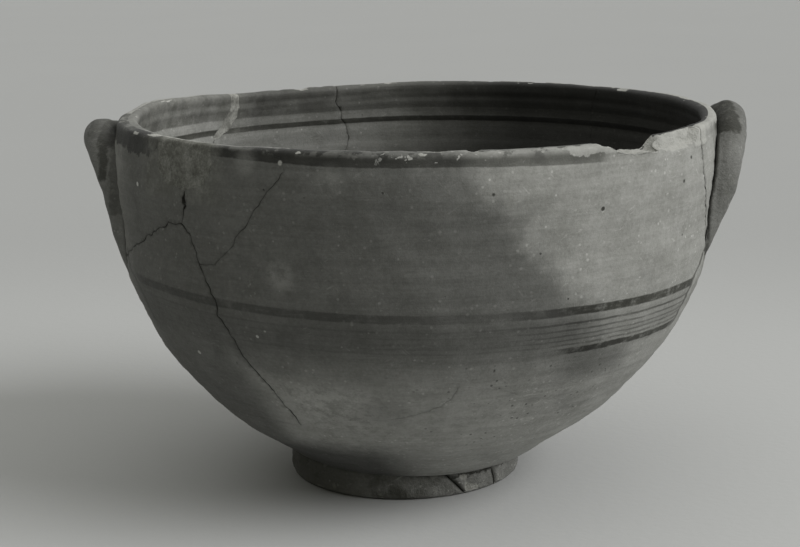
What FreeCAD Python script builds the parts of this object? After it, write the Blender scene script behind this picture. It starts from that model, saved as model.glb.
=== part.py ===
import FreeCAD, Part
import math
import os

# Two-handled drinking cup of fired clay, hand thrown and mended from sherds.
# +Z is up and +X runs towards the right handle. The origin is on the bowl's axis, where it stands.
# Lengths are millimetres. Azimuths are degrees about the bowl's axis, 0 at +X and -90 at the front.

os.makedirs("parts", exist_ok=True)
doc = FreeCAD.newDocument("Cup")

# Named sizes of the cup.

SIZES = [
    ("rim_height", 119.4),
    ("body_radius", 97.0),
    ("foot_radius", 37.8),
    ("foot_inner_radius", 28.5),
    ("foot_rounding", 1.6),
    ("wall_thickness", 5.0),
    ("floor_thickness", 6.2),
    ("lip_crest_width", 1.5),
    ("underside_height", 4.6),
    ("foot_offset", 4.0),
    ("handle_rod_radius", 5.2),
    ("handle_half_span", 26.0),
    ("spall_radius", 14.0),
    ("lip_spall_depth", 2.8),
]

# Outer wall, foot to lip: share of the rim height, share of the body radius.

OUTER_WALL_SHARES = [
    (0.0754, 0.4117),
    (0.1197, 0.4930),
    (0.1700, 0.5829),
    (0.2400, 0.6857),
    (0.3200, 0.7783),
    (0.4200, 0.8701),
    (0.5400, 0.9437),
    (0.6600, 0.9841),
    (0.7800, 0.9902),
    (0.8800, 1.0000),
    (0.9500, 0.9918),
    (0.9850, 0.9850),
]

# Underside within the foot: share of the foot radius, share of the foot junction's rise.

UNDERSIDE_SHARES = [
    (0.0, 0.0),
    (0.55, 0.06),
    (0.85, 0.34),
]

# Wall thickness from foot to lip, as a multiple of the named thickness.

THICKNESS_SHARES = [
    (0.0, 1.26),
    (0.2, 1.18),
    (0.5, 1.0),
    (0.9, 0.98),
    (1.1, 1.0),
]

# Joins between sherds: azimuth, share of the rim height. They run past the lip where they reach it.

OVER_LIP_SHARE = 1.25

# Where joins meet.

MEET_AB_SHARE = (-135.5, 0.803)
MEET_AC_SHARE = (-131.2, 0.709)
MEET_BK_SHARE = (-185.0, 0.586)
MEET_BG_SHARE = (-212.0, 0.720)
MEET_A_BASE_SHARE = (-119.2, 0.276)
MEET_D_BASE_SHARE = (-22.0, 0.300)
MEET_H_BASE_SHARE = (-315.0, 0.300)
MEET_F_BASE_SHARE = (-242.0, 0.310)
MEET_K_BASE_SHARE = (-190.0, 0.276)
FULL_TURN = 360

# Points above the lip that carry the longer outlines over it.

RIM_FRONT_SHARE = (-71.0, OVER_LIP_SHARE)
RIM_LEFT_SHARE = (-178.0, OVER_LIP_SHARE)
RIM_REAR_SHARE = (-283.0, OVER_LIP_SHARE)
RIM_RIGHT_SHARE = (-352.0, OVER_LIP_SHARE)

JOIN_A_TOP_SHARES = [
    (-131.6, OVER_LIP_SHARE),
    (-131.9, 0.985),
    (-132.1, 0.956),
    (-132.5, 0.935),
    (-133.3, 0.901),
    (-134.9, 0.8635),
    (-134.7, 0.844),
    MEET_AB_SHARE,
]

JOIN_A_MIDDLE_SHARES = [
    MEET_AB_SHARE,
    (-133.6, 0.772),
    (-132.5, 0.744),
    MEET_AC_SHARE,
]

JOIN_A_LOW_SHARES = [
    MEET_AC_SHARE,
    (-129.6, 0.678),
    (-128.8, 0.646),
    (-128.0, 0.621),
    (-127.5, 0.585),
    (-126.1, 0.529),
    (-124.8, 0.476),
    (-122.9, 0.421),
    (-121.3, 0.375),
    (-120.0, 0.326),
    MEET_A_BASE_SHARE,
]

JOIN_B_NEAR_SHARES = [
    MEET_AB_SHARE,
    (-139.0, 0.798),
    (-143.0, 0.776),
    (-147.7, 0.745),
    (-153.6, 0.710),
    (-158.0, 0.678),
    (-161.8, 0.6625),
    (-172.0, 0.611),
    MEET_BK_SHARE,
]

JOIN_B_FAR_SHARES = [
    MEET_BK_SHARE,
    (-192.0, 0.598),
    (-200.0, 0.637),
    (-206.0, 0.690),
    MEET_BG_SHARE,
]

JOIN_C_SHARES = [
    (-114.7, OVER_LIP_SHARE),
    (-114.7, 0.997),
    (-113.5, 0.981),
    (-112.4, 0.952),
    (-114.3, 0.924),
    (-116.5, 0.891),
    (-118.3, 0.863),
    (-119.8, 0.833),
    (-121.7, 0.804),
    (-123.1, 0.769),
    (-125.1, 0.741),
    (-127.0, 0.720),
    MEET_AC_SHARE,
]

JOIN_D_SHARES = [
    (-28.0, OVER_LIP_SHARE),
    (-28.0, 0.981),
    (-27.7, 0.962),
    (-27.1, 0.918),
    (-25.5, 0.8535),
    (-22.4, 0.779),
    (-20.5, 0.714),
    (-18.5, 0.640),
    (-15.0, 0.560),
    (-14.0, 0.480),
    (-17.0, 0.390),
    MEET_D_BASE_SHARE,
]

JOIN_G_SHARES = [
    (-224.1, OVER_LIP_SHARE),
    (-224.1, 0.993),
    (-224.6, 0.963),
    (-223.8, 0.9355),
    (-221.6, 0.896),
    (-219.1, 0.871),
    (-215.0, 0.800),
    MEET_BG_SHARE,
]

JOIN_F_SHARES = [
    (-251.0, OVER_LIP_SHARE),
    (-251.0, 0.9875),
    (-251.0, 0.957),
    (-252.3, 0.916),
    (-253.4, 0.874),
    (-253.9, 0.830),
    (-253.6, 0.794),
    (-252.0, 0.700),
    (-249.0, 0.590),
    (-247.0, 0.480),
    (-244.0, 0.390),
    MEET_F_BASE_SHARE,
]

JOIN_H_SHARES = [
    (-315.5, OVER_LIP_SHARE),
    (-315.5, 0.996),
    (-313.9, 0.957),
    (-313.0, 0.870),
    (-315.0, 0.770),
    (-317.0, 0.670),
    (-315.0, 0.550),
    (-312.0, 0.430),
    (-314.0, 0.350),
    MEET_H_BASE_SHARE,
]

JOIN_K_SHARES = [
    MEET_BK_SHARE,
    (-187.0, 0.500),
    (-190.5, 0.400),
    MEET_K_BASE_SHARE,
]

BASE_JOIN_SHARES = [
    (MEET_D_BASE_SHARE[0] - FULL_TURN, MEET_D_BASE_SHARE[1]),
    (-360.0, 0.276),
    (-340.0, 0.293),
    MEET_H_BASE_SHARE,
    (-290.0, 0.285),
    (-265.0, 0.310),
    MEET_F_BASE_SHARE,
    (-225.0, 0.276),
    (-208.0, 0.260),
    MEET_K_BASE_SHARE,
    (-170.0, 0.251),
    (-155.0, 0.260),
    (-135.0, 0.276),
    MEET_A_BASE_SHARE,
    (-112.0, 0.297),
    (-104.0, 0.314),
    (-95.1, 0.324),
    (-87.6, 0.348),
    (-84.6, 0.371),
    (-82.5, 0.394),
    (-82.0, 0.424),
    (-75.0, 0.410),
    (-66.0, 0.365),
    (-56.0, 0.335),
    (-46.0, 0.318),
    (-34.0, 0.310),
    MEET_D_BASE_SHARE,
]

# Plaster let into the lip at the front left, and along the join at the back left.

LIP_FILL_SHARES = [
    (-143.0, OVER_LIP_SHARE),
    (-142.6, 0.945),
    (-139.6, 0.893),
    (-134.2, 0.882),
    (-129.6, 0.905),
    (-127.7, 0.942),
    (-128.2, OVER_LIP_SHARE),
]

SEAM_FILL_SHARES = [
    (-225.3, OVER_LIP_SHARE),
    (-225.9, 0.963),
    (-225.0, 0.930),
    (-222.6, 0.888),
    (-219.1, 0.862),
    (-218.3, 0.874),
    (-220.6, 0.904),
    (-222.6, 0.9405),
    (-223.2, 0.963),
    (-222.9, OVER_LIP_SHARE),
]

# Damage to the lip at the front right: a low notch, then a stretch that lost its outer skin.

LIP_NOTCH_SHARES = [
    (-57.5, OVER_LIP_SHARE),
    (-57.0, 0.998),
    (-54.5, 0.986),
    (-51.4, 0.973),
    (-44.4, 0.968),
    (-42.6, 0.982),
    (-40.6, OVER_LIP_SHARE),
]

LIP_SPALL_SHARES = [
    (-43.5, OVER_LIP_SHARE),
    (-43.5, 0.964),
    (-38.5, 0.957),
    (-32.5, 0.955),
    (-29.0, 0.961),
    (-29.0, OVER_LIP_SHARE),
]

# Breaks of the foot: azimuth where it stands, azimuth at the height of the junction.

FOOT_BREAK_LEFT = (-59.0, -72.0)
FOOT_BREAK_RIGHT = (-40.0, -42.0)
FOOT_JUNCTION_SHARE = 0.075

# Foot ring's upper end within the bowl, and the solid between the breaks, in rim heights.

FOOT_TOP_SHARE = 0.105
FOOT_WEDGE_TOP_SHARE = 0.15
FOOT_WEDGE_REACH_SHARE = 2.0

# Flake lost from the foot at the front left: azimuth, reach in its own radii, height.

FOOT_SPALL_AZIMUTH = -79.0
FOOT_SPALL_REACH_SHARE = 0.84
FOOT_SPALL_HEIGHT_SHARE = 0.052

# Rounded corners: how far their middle has gone sideways and upwards.

ROUND_SIDE_SHARE = 0.29
ROUND_RISE_SHARE = 0.71

# Dish of the bowl's floor, between the middle and the foot junction.

DISH_RUN_SHARE = 0.45
DISH_RISE_SHARE = 0.10

# Handle rods. Each loop's top has its share of the rim height. An arm is listed from root to top:
# drop below the top and sideways place, both as shares of the half span, then the outward shift of
# the rod's centre from the wall in rod radii.

ROD_STATIONS = 19
LEFT_LOOP_TOP_SHARE = 0.9514
RIGHT_LOOP_TOP_SHARE = 0.9679

LEFT_ROD_SHARES = [
    (1.672, 1.03, -1.42),
    (1.404, 1.02, -1.00),
    (1.118, 1.00, -0.60),
    (0.829, 0.98, -0.28),
    (0.540, 0.95, -0.13),
    (0.307, 0.84, 0.12),
    (0.118, 0.56, 0.50),
    (0.0, 0.0, 1.06),
]

RIGHT_ROD_SHARES = [
    (1.636, 1.03, -1.42),
    (1.382, 1.02, -0.90),
    (1.162, 1.00, -0.42),
    (0.942, 0.99, -0.02),
    (0.688, 0.98, 0.35),
    (0.431, 0.93, 0.56),
    (0.220, 0.76, 0.82),
    (0.064, 0.42, 1.03),
    (0.0, 0.0, 1.17),
]

# Reach of the cutting solids beyond the wall, in body radii.

FAR_SHARE = 3.0
APEX_SHARE = 0.55

# Degrees of azimuth to one rim height where an outline is drawn flat.

FLAT_STRETCH = 100


def make_sheet():
    sheet = doc.addObject("Spreadsheet::Sheet", "Sizes")
    for row, (alias, value) in enumerate(SIZES, start=1):
        sheet.set("A%d" % row, alias)
        sheet.set("B%d" % row, str(value))
        sheet.setAlias("B%d" % row, alias)
    doc.recompute()
    return sheet


sheet = make_sheet()


def size(alias):
    return float(sheet.get(alias))


def bind(obj, prop, expression):
    obj.setExpression(prop, expression)


def outer_points():
    height = size("rim_height")
    radius = size("body_radius")
    return [(r * radius, z * height) for z, r in OUTER_WALL_SHARES]


def wall_radius(z):
    points = outer_points()
    if z <= points[0][1]:
        return points[0][0]
    for (r1, z1), (r2, z2) in zip(points, points[1:]):
        if z <= z2:
            return r1 + (r2 - r1) * (z - z1) / (z2 - z1)
    return points[-1][0]


def thickness(z):
    share = z / size("rim_height")
    table = THICKNESS_SHARES
    for (s1, t1), (s2, t2) in zip(table, table[1:]):
        if share <= s2:
            return size("wall_thickness") * (t1 + (t2 - t1) * (share - s1) / (s2 - s1))
    return size("wall_thickness") * table[-1][1]


def inner_points():
    outer = outer_points()
    inner = []
    for i in range(1, len(outer) - 1):
        (ra, za), (rb, zb) = outer[i - 1], outer[i + 1]
        run = math.hypot(rb - ra, zb - za)
        t = thickness(outer[i][1])
        inner.append((outer[i][0] - t * (zb - za) / run, outer[i][1] + t * (rb - ra) / run))
    last = outer[-1]
    inner.append((last[0] - thickness(last[1]), last[1]))
    return inner


def vec(r, z):
    return FreeCAD.Vector(r, 0, z)


def spline(points):
    curve = Part.BSplineCurve()
    curve.interpolate([vec(r, z) for r, z in points])
    return curve.toShape()


def line(a, b):
    return Part.LineSegment(vec(*a), vec(*b)).toShape()


def lip_crest():
    outer = outer_points()[-1]
    inner = inner_points()[-1]
    height = size("rim_height")
    middle = (outer[0] + inner[0]) / 2
    flat = size("lip_crest_width") / 2
    return (middle + flat, height), (middle - flat, height)


def add_shape(name, shape):
    obj = doc.addObject("Part::Feature", name)
    obj.Label = name
    obj.Shape = shape
    return obj


def revolve(name, source, shift="0 mm"):
    obj = doc.addObject("Part::Revolution", name)
    obj.Source = source
    obj.Axis = FreeCAD.Vector(0, 0, 1)
    bind(obj, "Base.x", shift)
    obj.Angle = FULL_TURN
    obj.Solid = True
    doc.recompute()
    return obj


def outer_profile():
    outer = outer_points()
    crest_out, crest_in = lip_crest()
    low_r, low_z = outer[0]
    under = size("underside_height")
    base = [(s * size("foot_radius"), under + t * (low_z - under)) for s, t in UNDERSIDE_SHARES]
    edges = [spline(base + [outer[0]]), spline(outer)]
    edges.append(arc(outer[-1], crest_out))
    edges.append(line(crest_out, (0, size("rim_height"))))
    edges.append(line((0, size("rim_height")), base[0]))
    return Part.Face(Part.Wire(edges))


def arc(a, b):
    bulge = (a[0] + (b[0] - a[0]) * ROUND_SIDE_SHARE, a[1] + (b[1] - a[1]) * ROUND_RISE_SHARE)
    return Part.Arc(vec(*a), vec(*bulge), vec(*b)).toShape()


def inner_profile():
    inner = inner_points()
    crest_out, crest_in = lip_crest()
    top = size("rim_height")
    floor_z = size("underside_height") + size("floor_thickness")
    low_r, low_z = inner[0]
    dish = (low_r * DISH_RUN_SHARE, floor_z + (low_z - floor_z) * DISH_RISE_SHARE)
    floor = [(0, floor_z), dish, inner[0]]
    edges = [spline(floor + inner[1:])]
    edges.append(arc(inner[-1], crest_in))
    above = top + size("wall_thickness")
    edges.append(line(crest_in, (crest_in[0], above)))
    edges.append(line((crest_in[0], above), (0, above)))
    edges.append(line((0, above), (0, floor_z)))
    return Part.Face(Part.Wire(edges))


def cut(name, base, tool):
    obj = doc.addObject("Part::Cut", name)
    obj.Label = name
    obj.Base = base
    obj.Tool = tool
    doc.recompute()
    return obj


def common(name, base, tool):
    obj = doc.addObject("Part::Common", name)
    obj.Label = name
    obj.Base = base
    obj.Tool = tool
    doc.recompute()
    return obj


# The bowl's wall, before the joins.

body_outer = revolve("body_outer", add_shape("outer_profile", outer_profile()))
body_hollow = revolve("body_hollow", add_shape("inner_profile", inner_profile()))
body_wall = cut("body_wall", body_outer, body_hollow)


def wall_point(azimuth, share):
    z = share * size("rim_height")
    r = wall_radius(z)
    a = math.radians(azimuth)
    return FreeCAD.Vector(r * math.cos(a), r * math.sin(a), z)


def apex():
    z = APEX_SHARE * size("rim_height")
    return FreeCAD.Vector(0, 0, z)


def far_point(azimuth, share):
    start = apex()
    return start + (wall_point(azimuth, share) - start) * FAR_SHARE


def turn(a, b, c):
    return (b[0] - a[0]) * (c[1] - a[1]) - (b[1] - a[1]) * (c[0] - a[0])


def holds(a, b, c, p):
    return turn(a, b, p) >= 0 and turn(b, c, p) >= 0 and turn(c, a, p) >= 0


def flat_triangles(outline):
    # Ear clipping of the outline drawn flat, azimuth against height.
    flat = [(a, s * FLAT_STRETCH) for a, s in outline]
    order = list(range(len(flat)))
    area = sum(flat[i - 1][0] * flat[i][1] - flat[i][0] * flat[i - 1][1] for i in order)
    if area < 0:
        order.reverse()
    found = []
    while len(order) > 3:
        best = None
        for k in range(len(order)):
            i, j, m = order[k - 1], order[k], order[(k + 1) % len(order)]
            a, b, c = flat[i], flat[j], flat[m]
            if turn(a, b, c) <= 0:
                continue
            if any(holds(a, b, c, flat[n]) for n in order if n not in (i, j, m)):
                continue
            span = math.hypot(c[0] - a[0], c[1] - a[1])
            if best is None or span < best[0]:
                best = (span, k, (i, j, m))
        found.append(best[2])
        del order[best[1]]
    found.append(tuple(order))
    return found


def triangle(a, b, c):
    return Part.Face(Part.makePolygon([a, b, c, a]))


def close_faces(faces):
    shell = Part.makeShell(faces)
    shell.sewShape()
    solid = Part.makeSolid(shell)
    if solid.Volume < 0:
        solid.reverse()
    return solid


def cone_over(name, outline):
    # Solid that fans out from the apex through a closed outline on the wall.
    start = apex()
    far = [far_point(a, s) for a, s in outline]
    count = len(far)
    faces = [triangle(start, far[i], far[(i + 1) % count]) for i in range(count)]
    faces += [triangle(far[i], far[j], far[m]) for i, j, m in flat_triangles(outline)]
    return add_shape(name, close_faces(faces))


def cone_below(name, loop):
    # The same for a loop that runs all the way round, closed far below.
    start = apex()
    far = [far_point(a, s) for a, s in loop[:-1]]
    count = len(far)
    bottom = FreeCAD.Vector(start.x, start.y, -FAR_SHARE * size("body_radius"))
    faces = []
    for i in range(count):
        faces.append(triangle(start, far[i], far[(i + 1) % count]))
        faces.append(triangle(bottom, far[i], far[(i + 1) % count]))
    return add_shape(name, close_faces(faces))


def chain(*runs):
    # Joins of runs end to start, the shared point once.
    points = []
    for run in runs:
        for p in run:
            if not points or points[-1] != p:
                points.append(p)
    if points[0] == points[-1]:
        points.pop()
    return points


def back(run):
    return list(reversed(run))


def base_run(start, end):
    # The stretch of the base join between two meeting points, in its own order.
    first = BASE_JOIN_SHARES.index(start)
    return BASE_JOIN_SHARES[first:BASE_JOIN_SHARES.index(end) + 1]


def shifted(run, turns):
    return [(a + FULL_TURN * turns, s) for a, s in run]


def make_cones():
    cones = {}
    cones["wedge"] = cone_over("wedge_cone", chain(
        JOIN_A_TOP_SHARES, JOIN_A_MIDDLE_SHARES, back(JOIN_C_SHARES)))
    cones["front"] = cone_over("front_cone", chain(
        JOIN_C_SHARES, JOIN_A_LOW_SHARES, base_run(MEET_A_BASE_SHARE, MEET_D_BASE_SHARE), back(JOIN_D_SHARES),
        [RIM_FRONT_SHARE]))
    cones["left"] = cone_over("left_cone", chain(
        JOIN_G_SHARES, back(JOIN_B_FAR_SHARES), back(JOIN_B_NEAR_SHARES),
        back(JOIN_A_TOP_SHARES), [RIM_LEFT_SHARE]))
    cones["lower_left"] = cone_over("lower_left_cone", chain(
        JOIN_K_SHARES, base_run(MEET_K_BASE_SHARE, MEET_A_BASE_SHARE), back(JOIN_A_LOW_SHARES),
        back(JOIN_A_MIDDLE_SHARES), JOIN_B_NEAR_SHARES))
    cones["back_left"] = cone_over("back_left_cone", chain(
        JOIN_F_SHARES, base_run(MEET_F_BASE_SHARE, MEET_K_BASE_SHARE), back(JOIN_K_SHARES),
        JOIN_B_FAR_SHARES, back(JOIN_G_SHARES)))
    cones["rear"] = cone_over("rear_cone", chain(
        JOIN_H_SHARES, base_run(MEET_H_BASE_SHARE, MEET_F_BASE_SHARE), back(JOIN_F_SHARES),
        [RIM_REAR_SHARE]))
    cones["right"] = cone_over("right_cone", chain(
        shifted(JOIN_D_SHARES, -1), base_run(BASE_JOIN_SHARES[0], MEET_H_BASE_SHARE),
        back(JOIN_H_SHARES),
        [RIM_RIGHT_SHARE]))
    cones["base"] = cone_below("base_cone", BASE_JOIN_SHARES)
    cones["lip_fill"] = cone_over("lip_fill_cone", LIP_FILL_SHARES)
    cones["seam_fill"] = cone_over("seam_fill_cone", SEAM_FILL_SHARES)
    cones["lip_notch"] = cone_over("lip_notch_cone", LIP_NOTCH_SHARES)
    cones["lip_spall"] = cone_over("lip_spall_cone", LIP_SPALL_SHARES)
    return cones


cones = make_cones()


def make_front_sherd():
    whole = common("front_whole", body_wall, cones["front"])
    notched = cut("front_notched", whole, cones["lip_notch"])
    core = doc.addObject("Part::Cylinder", "lip_core")
    bind(core, "Radius", "Sizes.body_radius * %s - Sizes.lip_spall_depth" % OUTER_WALL_SHARES[-1][1])
    bind(core, "Height", "Sizes.rim_height * %s" % OVER_LIP_SHARE)
    doc.recompute()
    skin = cut("lip_skin", cones["lip_spall"], core)
    return cut("front_sherd", notched, skin)


def make_rim_wedge_sherd():
    whole = common("wedge_whole", body_wall, cones["wedge"])
    return cut("rim_wedge_sherd", whole, cones["lip_fill"])


def make_left_handle_sherd():
    whole = common("left_whole", body_wall, cones["left"])
    opened = cut("left_opened", whole, cones["lip_fill"])
    return cut("left_handle_sherd", opened, cones["seam_fill"])


def make_back_left_sherd():
    whole = common("back_left_whole", body_wall, cones["back_left"])
    return cut("back_left_sherd", whole, cones["seam_fill"])


def make_lip_fill():
    return common("lip_fill", body_wall, cones["lip_fill"])


def make_seam_fill():
    return common("seam_fill", body_wall, cones["seam_fill"])


def foot_centre():
    # The foot sits a little to the left of the bowl's axis.
    return -size("foot_offset")


def foot_profile():
    outer = foot_centre() + size("foot_radius")
    inner = foot_centre() + size("foot_inner_radius")
    rounding = size("foot_rounding")
    top = FOOT_TOP_SHARE * size("rim_height")
    corner = (outer, rounding)
    heel = (outer - rounding, 0)
    toe = (inner + rounding, 0)
    lift = (inner, rounding)
    edges = [arc(heel, corner)]
    edges.append(line(corner, (outer, top)))
    edges.append(line((outer, top), (inner, top)))
    edges.append(line((inner, top), lift))
    edges.append(arc(toe, lift))
    edges.append(line(toe, heel))
    return Part.Face(Part.Wire(Part.__sortEdges__(edges)))


def foot_wedge(name):
    # Solid between the two breaks of the foot, both slanting as they rise.
    reach = FOOT_WEDGE_REACH_SHARE * size("foot_radius")
    top = FOOT_WEDGE_TOP_SHARE * size("rim_height")
    low = -top
    points = []
    for azimuths, z in ((0, low), (1, top)):
        ring = []
        for pair in (FOOT_BREAK_LEFT, FOOT_BREAK_RIGHT):
            slope = (pair[1] - pair[0]) / (FOOT_JUNCTION_SHARE * size("rim_height"))
            a = math.radians(pair[0] + slope * z)
            ring.append(FreeCAD.Vector(foot_centre() + reach * math.cos(a), reach * math.sin(a), z))
        points.append((FreeCAD.Vector(foot_centre(), 0, z), ring[0], ring[1]))
    wires = [Part.makePolygon([p[0], p[1], p[2], p[0]]) for p in points]
    return add_shape(name, Part.makeLoft(wires, True, True))


def make_foot():
    ring = revolve("foot_turn", add_shape("foot_profile", foot_profile()), "-Sizes.foot_offset * 1 mm")
    seated = cut("foot_seated", ring, body_outer)
    ball = doc.addObject("Part::Sphere", "foot_spall_ball")
    bind(ball, "Radius", "Sizes.spall_radius")
    a = math.radians(FOOT_SPALL_AZIMUTH)
    reach = size("foot_radius") + size("spall_radius") * FOOT_SPALL_REACH_SHARE
    rise = FOOT_SPALL_HEIGHT_SHARE * size("rim_height")
    ball.Placement.Base = FreeCAD.Vector(
        foot_centre() + reach * math.cos(a), reach * math.sin(a), rise)
    doc.recompute()
    worn = cut("foot_worn", seated, ball)
    wedge = foot_wedge("foot_wedge")
    return cut("foot_ring", worn, wedge), common("foot_fragment", worn, wedge)


def rod_path(side, top_share, table):
    rod = size("handle_rod_radius")
    span = size("handle_half_span")
    top = top_share * size("rim_height")
    arm = []
    for drop_share, span_share, shift_share in table:
        z = top - drop_share * span
        y = span_share * span
        reach = wall_radius(z) + shift_share * rod
        x = side * math.sqrt(reach * reach - y * y)
        arm.append(FreeCAD.Vector(x, y, z))
    near = [FreeCAD.Vector(p.x, -p.y, p.z) for p in arm[:-1]]
    curve = Part.BSplineCurve()
    curve.interpolate(near + list(reversed(arm)))
    return curve


def rod_section(name, curve, share):
    # Circle across the rod at a share of its run, turned so that the rod doesn't twist.
    first = curve.FirstParameter
    at = first + (curve.LastParameter - first) * share
    middle = curve.value(at)
    along = curve.tangent(at)[0]
    outward = FreeCAD.Vector(middle.x, middle.y, 0)
    section = doc.addObject("Part::Circle", name)
    bind(section, "Radius", "Sizes.handle_rod_radius")
    turned = FreeCAD.Rotation(outward, along.cross(outward), along, "ZXY")
    section.Placement = FreeCAD.Placement(middle, turned)
    return section


def make_handle(name, side, top_share, table):
    curve = rod_path(side, top_share, table)
    steps = ROD_STATIONS - 1
    stations = [rod_section("%s_station_%d" % (name, k), curve, k / steps) for k in range(ROD_STATIONS)]
    doc.recompute()
    rod = doc.addObject("Part::Loft", name + "_rod")
    rod.Sections = stations
    rod.Solid = True
    rod.Ruled = False
    doc.recompute()
    return cut(name, rod, body_outer)


def make_parts():
    parts = [make_front_sherd()]
    parts.append(make_rim_wedge_sherd())
    parts.append(make_left_handle_sherd())
    parts.append(common("lower_left_sherd", body_wall, cones["lower_left"]))
    parts.append(make_back_left_sherd())
    parts.append(common("back_sherd", body_wall, cones["rear"]))
    parts.append(common("right_handle_sherd", body_wall, cones["right"]))
    parts.append(common("base_sherd", body_wall, cones["base"]))
    parts.append(make_lip_fill())
    parts.append(make_seam_fill())
    parts.extend(make_foot())
    parts.append(make_handle("left_handle", -1, LEFT_LOOP_TOP_SHARE, LEFT_ROD_SHARES))
    parts.append(make_handle("right_handle", 1, RIGHT_LOOP_TOP_SHARE, RIGHT_ROD_SHARES))
    return parts


parts = make_parts()
doc.recompute()


def check_and_write():
    for obj in doc.Objects:
        if "Invalid" in obj.State or "Error" in obj.State:
            raise RuntimeError("%s: %s" % (obj.Name, obj.State))
    for obj in parts:
        shape = obj.Shape
        if shape.isNull() or not shape.isValid() or not shape.Solids:
            raise RuntimeError("%s has no valid solid" % obj.Label)
        print(obj.Label, len(shape.Solids), round(shape.Volume, 1), shape.BoundBox)
        shape.exportStep("parts/%s.step" % obj.Label)


check_and_write()
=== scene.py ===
import math

import bpy
import bmesh
import numpy as np
from mathutils import Matrix, Vector, kdtree
from mathutils.geometry import delaunay_2d_cdt


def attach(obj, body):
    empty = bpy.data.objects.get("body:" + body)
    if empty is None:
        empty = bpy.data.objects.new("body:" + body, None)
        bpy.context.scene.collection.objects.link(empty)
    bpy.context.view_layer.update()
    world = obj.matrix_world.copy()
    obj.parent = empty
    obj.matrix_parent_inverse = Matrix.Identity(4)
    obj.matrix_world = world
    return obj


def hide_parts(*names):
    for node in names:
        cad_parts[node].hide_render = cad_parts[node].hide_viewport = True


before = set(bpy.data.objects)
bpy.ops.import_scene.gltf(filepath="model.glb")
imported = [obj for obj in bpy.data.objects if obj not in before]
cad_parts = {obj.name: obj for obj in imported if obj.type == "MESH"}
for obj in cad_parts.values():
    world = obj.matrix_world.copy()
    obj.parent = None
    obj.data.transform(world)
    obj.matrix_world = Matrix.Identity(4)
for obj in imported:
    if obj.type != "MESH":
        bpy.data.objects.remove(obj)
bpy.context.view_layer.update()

# Lengths are millimetres here and become metres when a mesh is made.
# Azimuths are degrees about the bowl's axis: 0 at the right handle, -90 at the front.

MM = 0.001
RIM = 119.4
R_REF = 90

# The bowl's axis: its place at the table, and its shift to the right per unit of height.

AXIS_FOOT = -1.44
AXIS_LEAN = 0.0233

# Outer profile of the wall: height, radius.

WALL = [(9, 39.93), (14.3, 47.82), (20.3, 56.54), (28.66, 66.51), (38.2, 75.5), (50.15, 84.4),
        (64.5, 91.54), (78.8, 95.46), (93.1, 96.05), (105.1, 97), (113.4, 96.2), (117.6, 95.54)]
UNDER = [(0, 4.6), (20.8, 4.86), (32.1, 6.1), (39.93, 9)]

# Thickness of the wall at shares of the rim's height.

THICK_AT = [0, 0.2, 0.5, 0.9, 1.1]
THICK = [6.3, 5.9, 5, 4.9, 5]


def hermite(xs, ys, x):
    """A smooth curve through the points xs, ys, read at x."""
    xs, ys = np.asarray(xs, float), np.asarray(ys, float)
    slope = np.gradient(ys, xs)
    x = np.clip(x, xs[0], xs[-1])
    k = np.clip(np.searchsorted(xs, x) - 1, 0, len(xs) - 2)
    h = xs[k + 1] - xs[k]
    t = (x - xs[k]) / h
    a = (1 + 2 * t) * (1 - t) ** 2 * ys[k] + t * (1 - t) ** 2 * h * slope[k]
    return a + t * t * (3 - 2 * t) * ys[k + 1] + t * t * (t - 1) * h * slope[k + 1]


def section():
    wall_z = np.linspace(WALL[0][0], WALL[-1][0], 500)
    wall_r = hermite(*zip(*WALL), wall_z)
    under_r = np.linspace(0, UNDER[-1][0], 160)[:-1]
    under_z = hermite(*zip(*UNDER), under_r)
    r = np.hstack([under_r, wall_r])
    z = np.hstack([under_z, wall_z])
    s = np.hstack([[0], np.cumsum(np.hypot(np.diff(r), np.diff(z)))])
    dr = np.gradient(r, s)
    dz = np.gradient(z, s)
    length = np.hypot(dr, dz)
    return s, r, z, dz / length, -dr / length


SEC_S, SEC_R, SEC_Z, SEC_NR, SEC_NZ = section()
S_LIP = SEC_S[-1]
Z_LIP = SEC_Z[-1]
ON_WALL = SEC_Z >= WALL[0][0]

# The rounded lip: length along its curve, radius of its middle, half width, height, squareness.

LIP_ARC = 7.6
LIP_MIDDLE = 93.05
LIP_HALF = 2.5
LIP_RISE = 1.8
LIP_POWER = 0.75
V_ALL = 2 * S_LIP + LIP_ARC


def s_of_z(z):
    return np.interp(z, SEC_Z[ON_WALL], SEC_S[ON_WALL])


def wall_radius(z):
    return np.interp(z, SEC_Z[ON_WALL], SEC_R[ON_WALL])


def thickness(z):
    return np.interp(np.asarray(z) / RIM, THICK_AT, THICK)


def unit(vectors):
    return vectors / np.maximum(np.linalg.norm(vectors, axis=1), 1e-9)[:, None]


class Waves:
    """Smooth repeatable noise in space: a sum of sine waves of mixed directions."""

    def __init__(self, seed, size, count=22):
        rng = np.random.default_rng(seed)
        way = unit(rng.normal(size=(count, 3)))
        self.way = way * (2 * np.pi / (size * rng.uniform(0.6, 1.7, count)))[:, None]
        self.phase = rng.uniform(0, 2 * np.pi, count)
        self.gain = 1 / math.sqrt(count / 2)

    def __call__(self, p):
        total = np.zeros(len(p))
        for way, phase in zip(self.way, self.phase):
            total += np.sin(p @ way + phase)
        return total * self.gain


SWELL = Waves(11, 70)
DENT = Waves(12, 22)
GRAIN = Waves(13, 5)
CRUMB = Waves(14, 2.2)


def wheel_marks(az, z):
    drift = 0.9 * np.sin(np.radians(az) * 2 + z * 0.05)
    marks = 0.075 * np.sin(2 * np.pi * (z + drift) / 5.3 + 0.4)
    marks += 0.055 * np.sin(2 * np.pi * (z - drift) / 3.1 + 2)
    return marks + 0.16 * np.sin(2 * np.pi * (z + 2 * drift) / 23 + 1)


# How far the lip stands above or below its level round the bowl.

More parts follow.
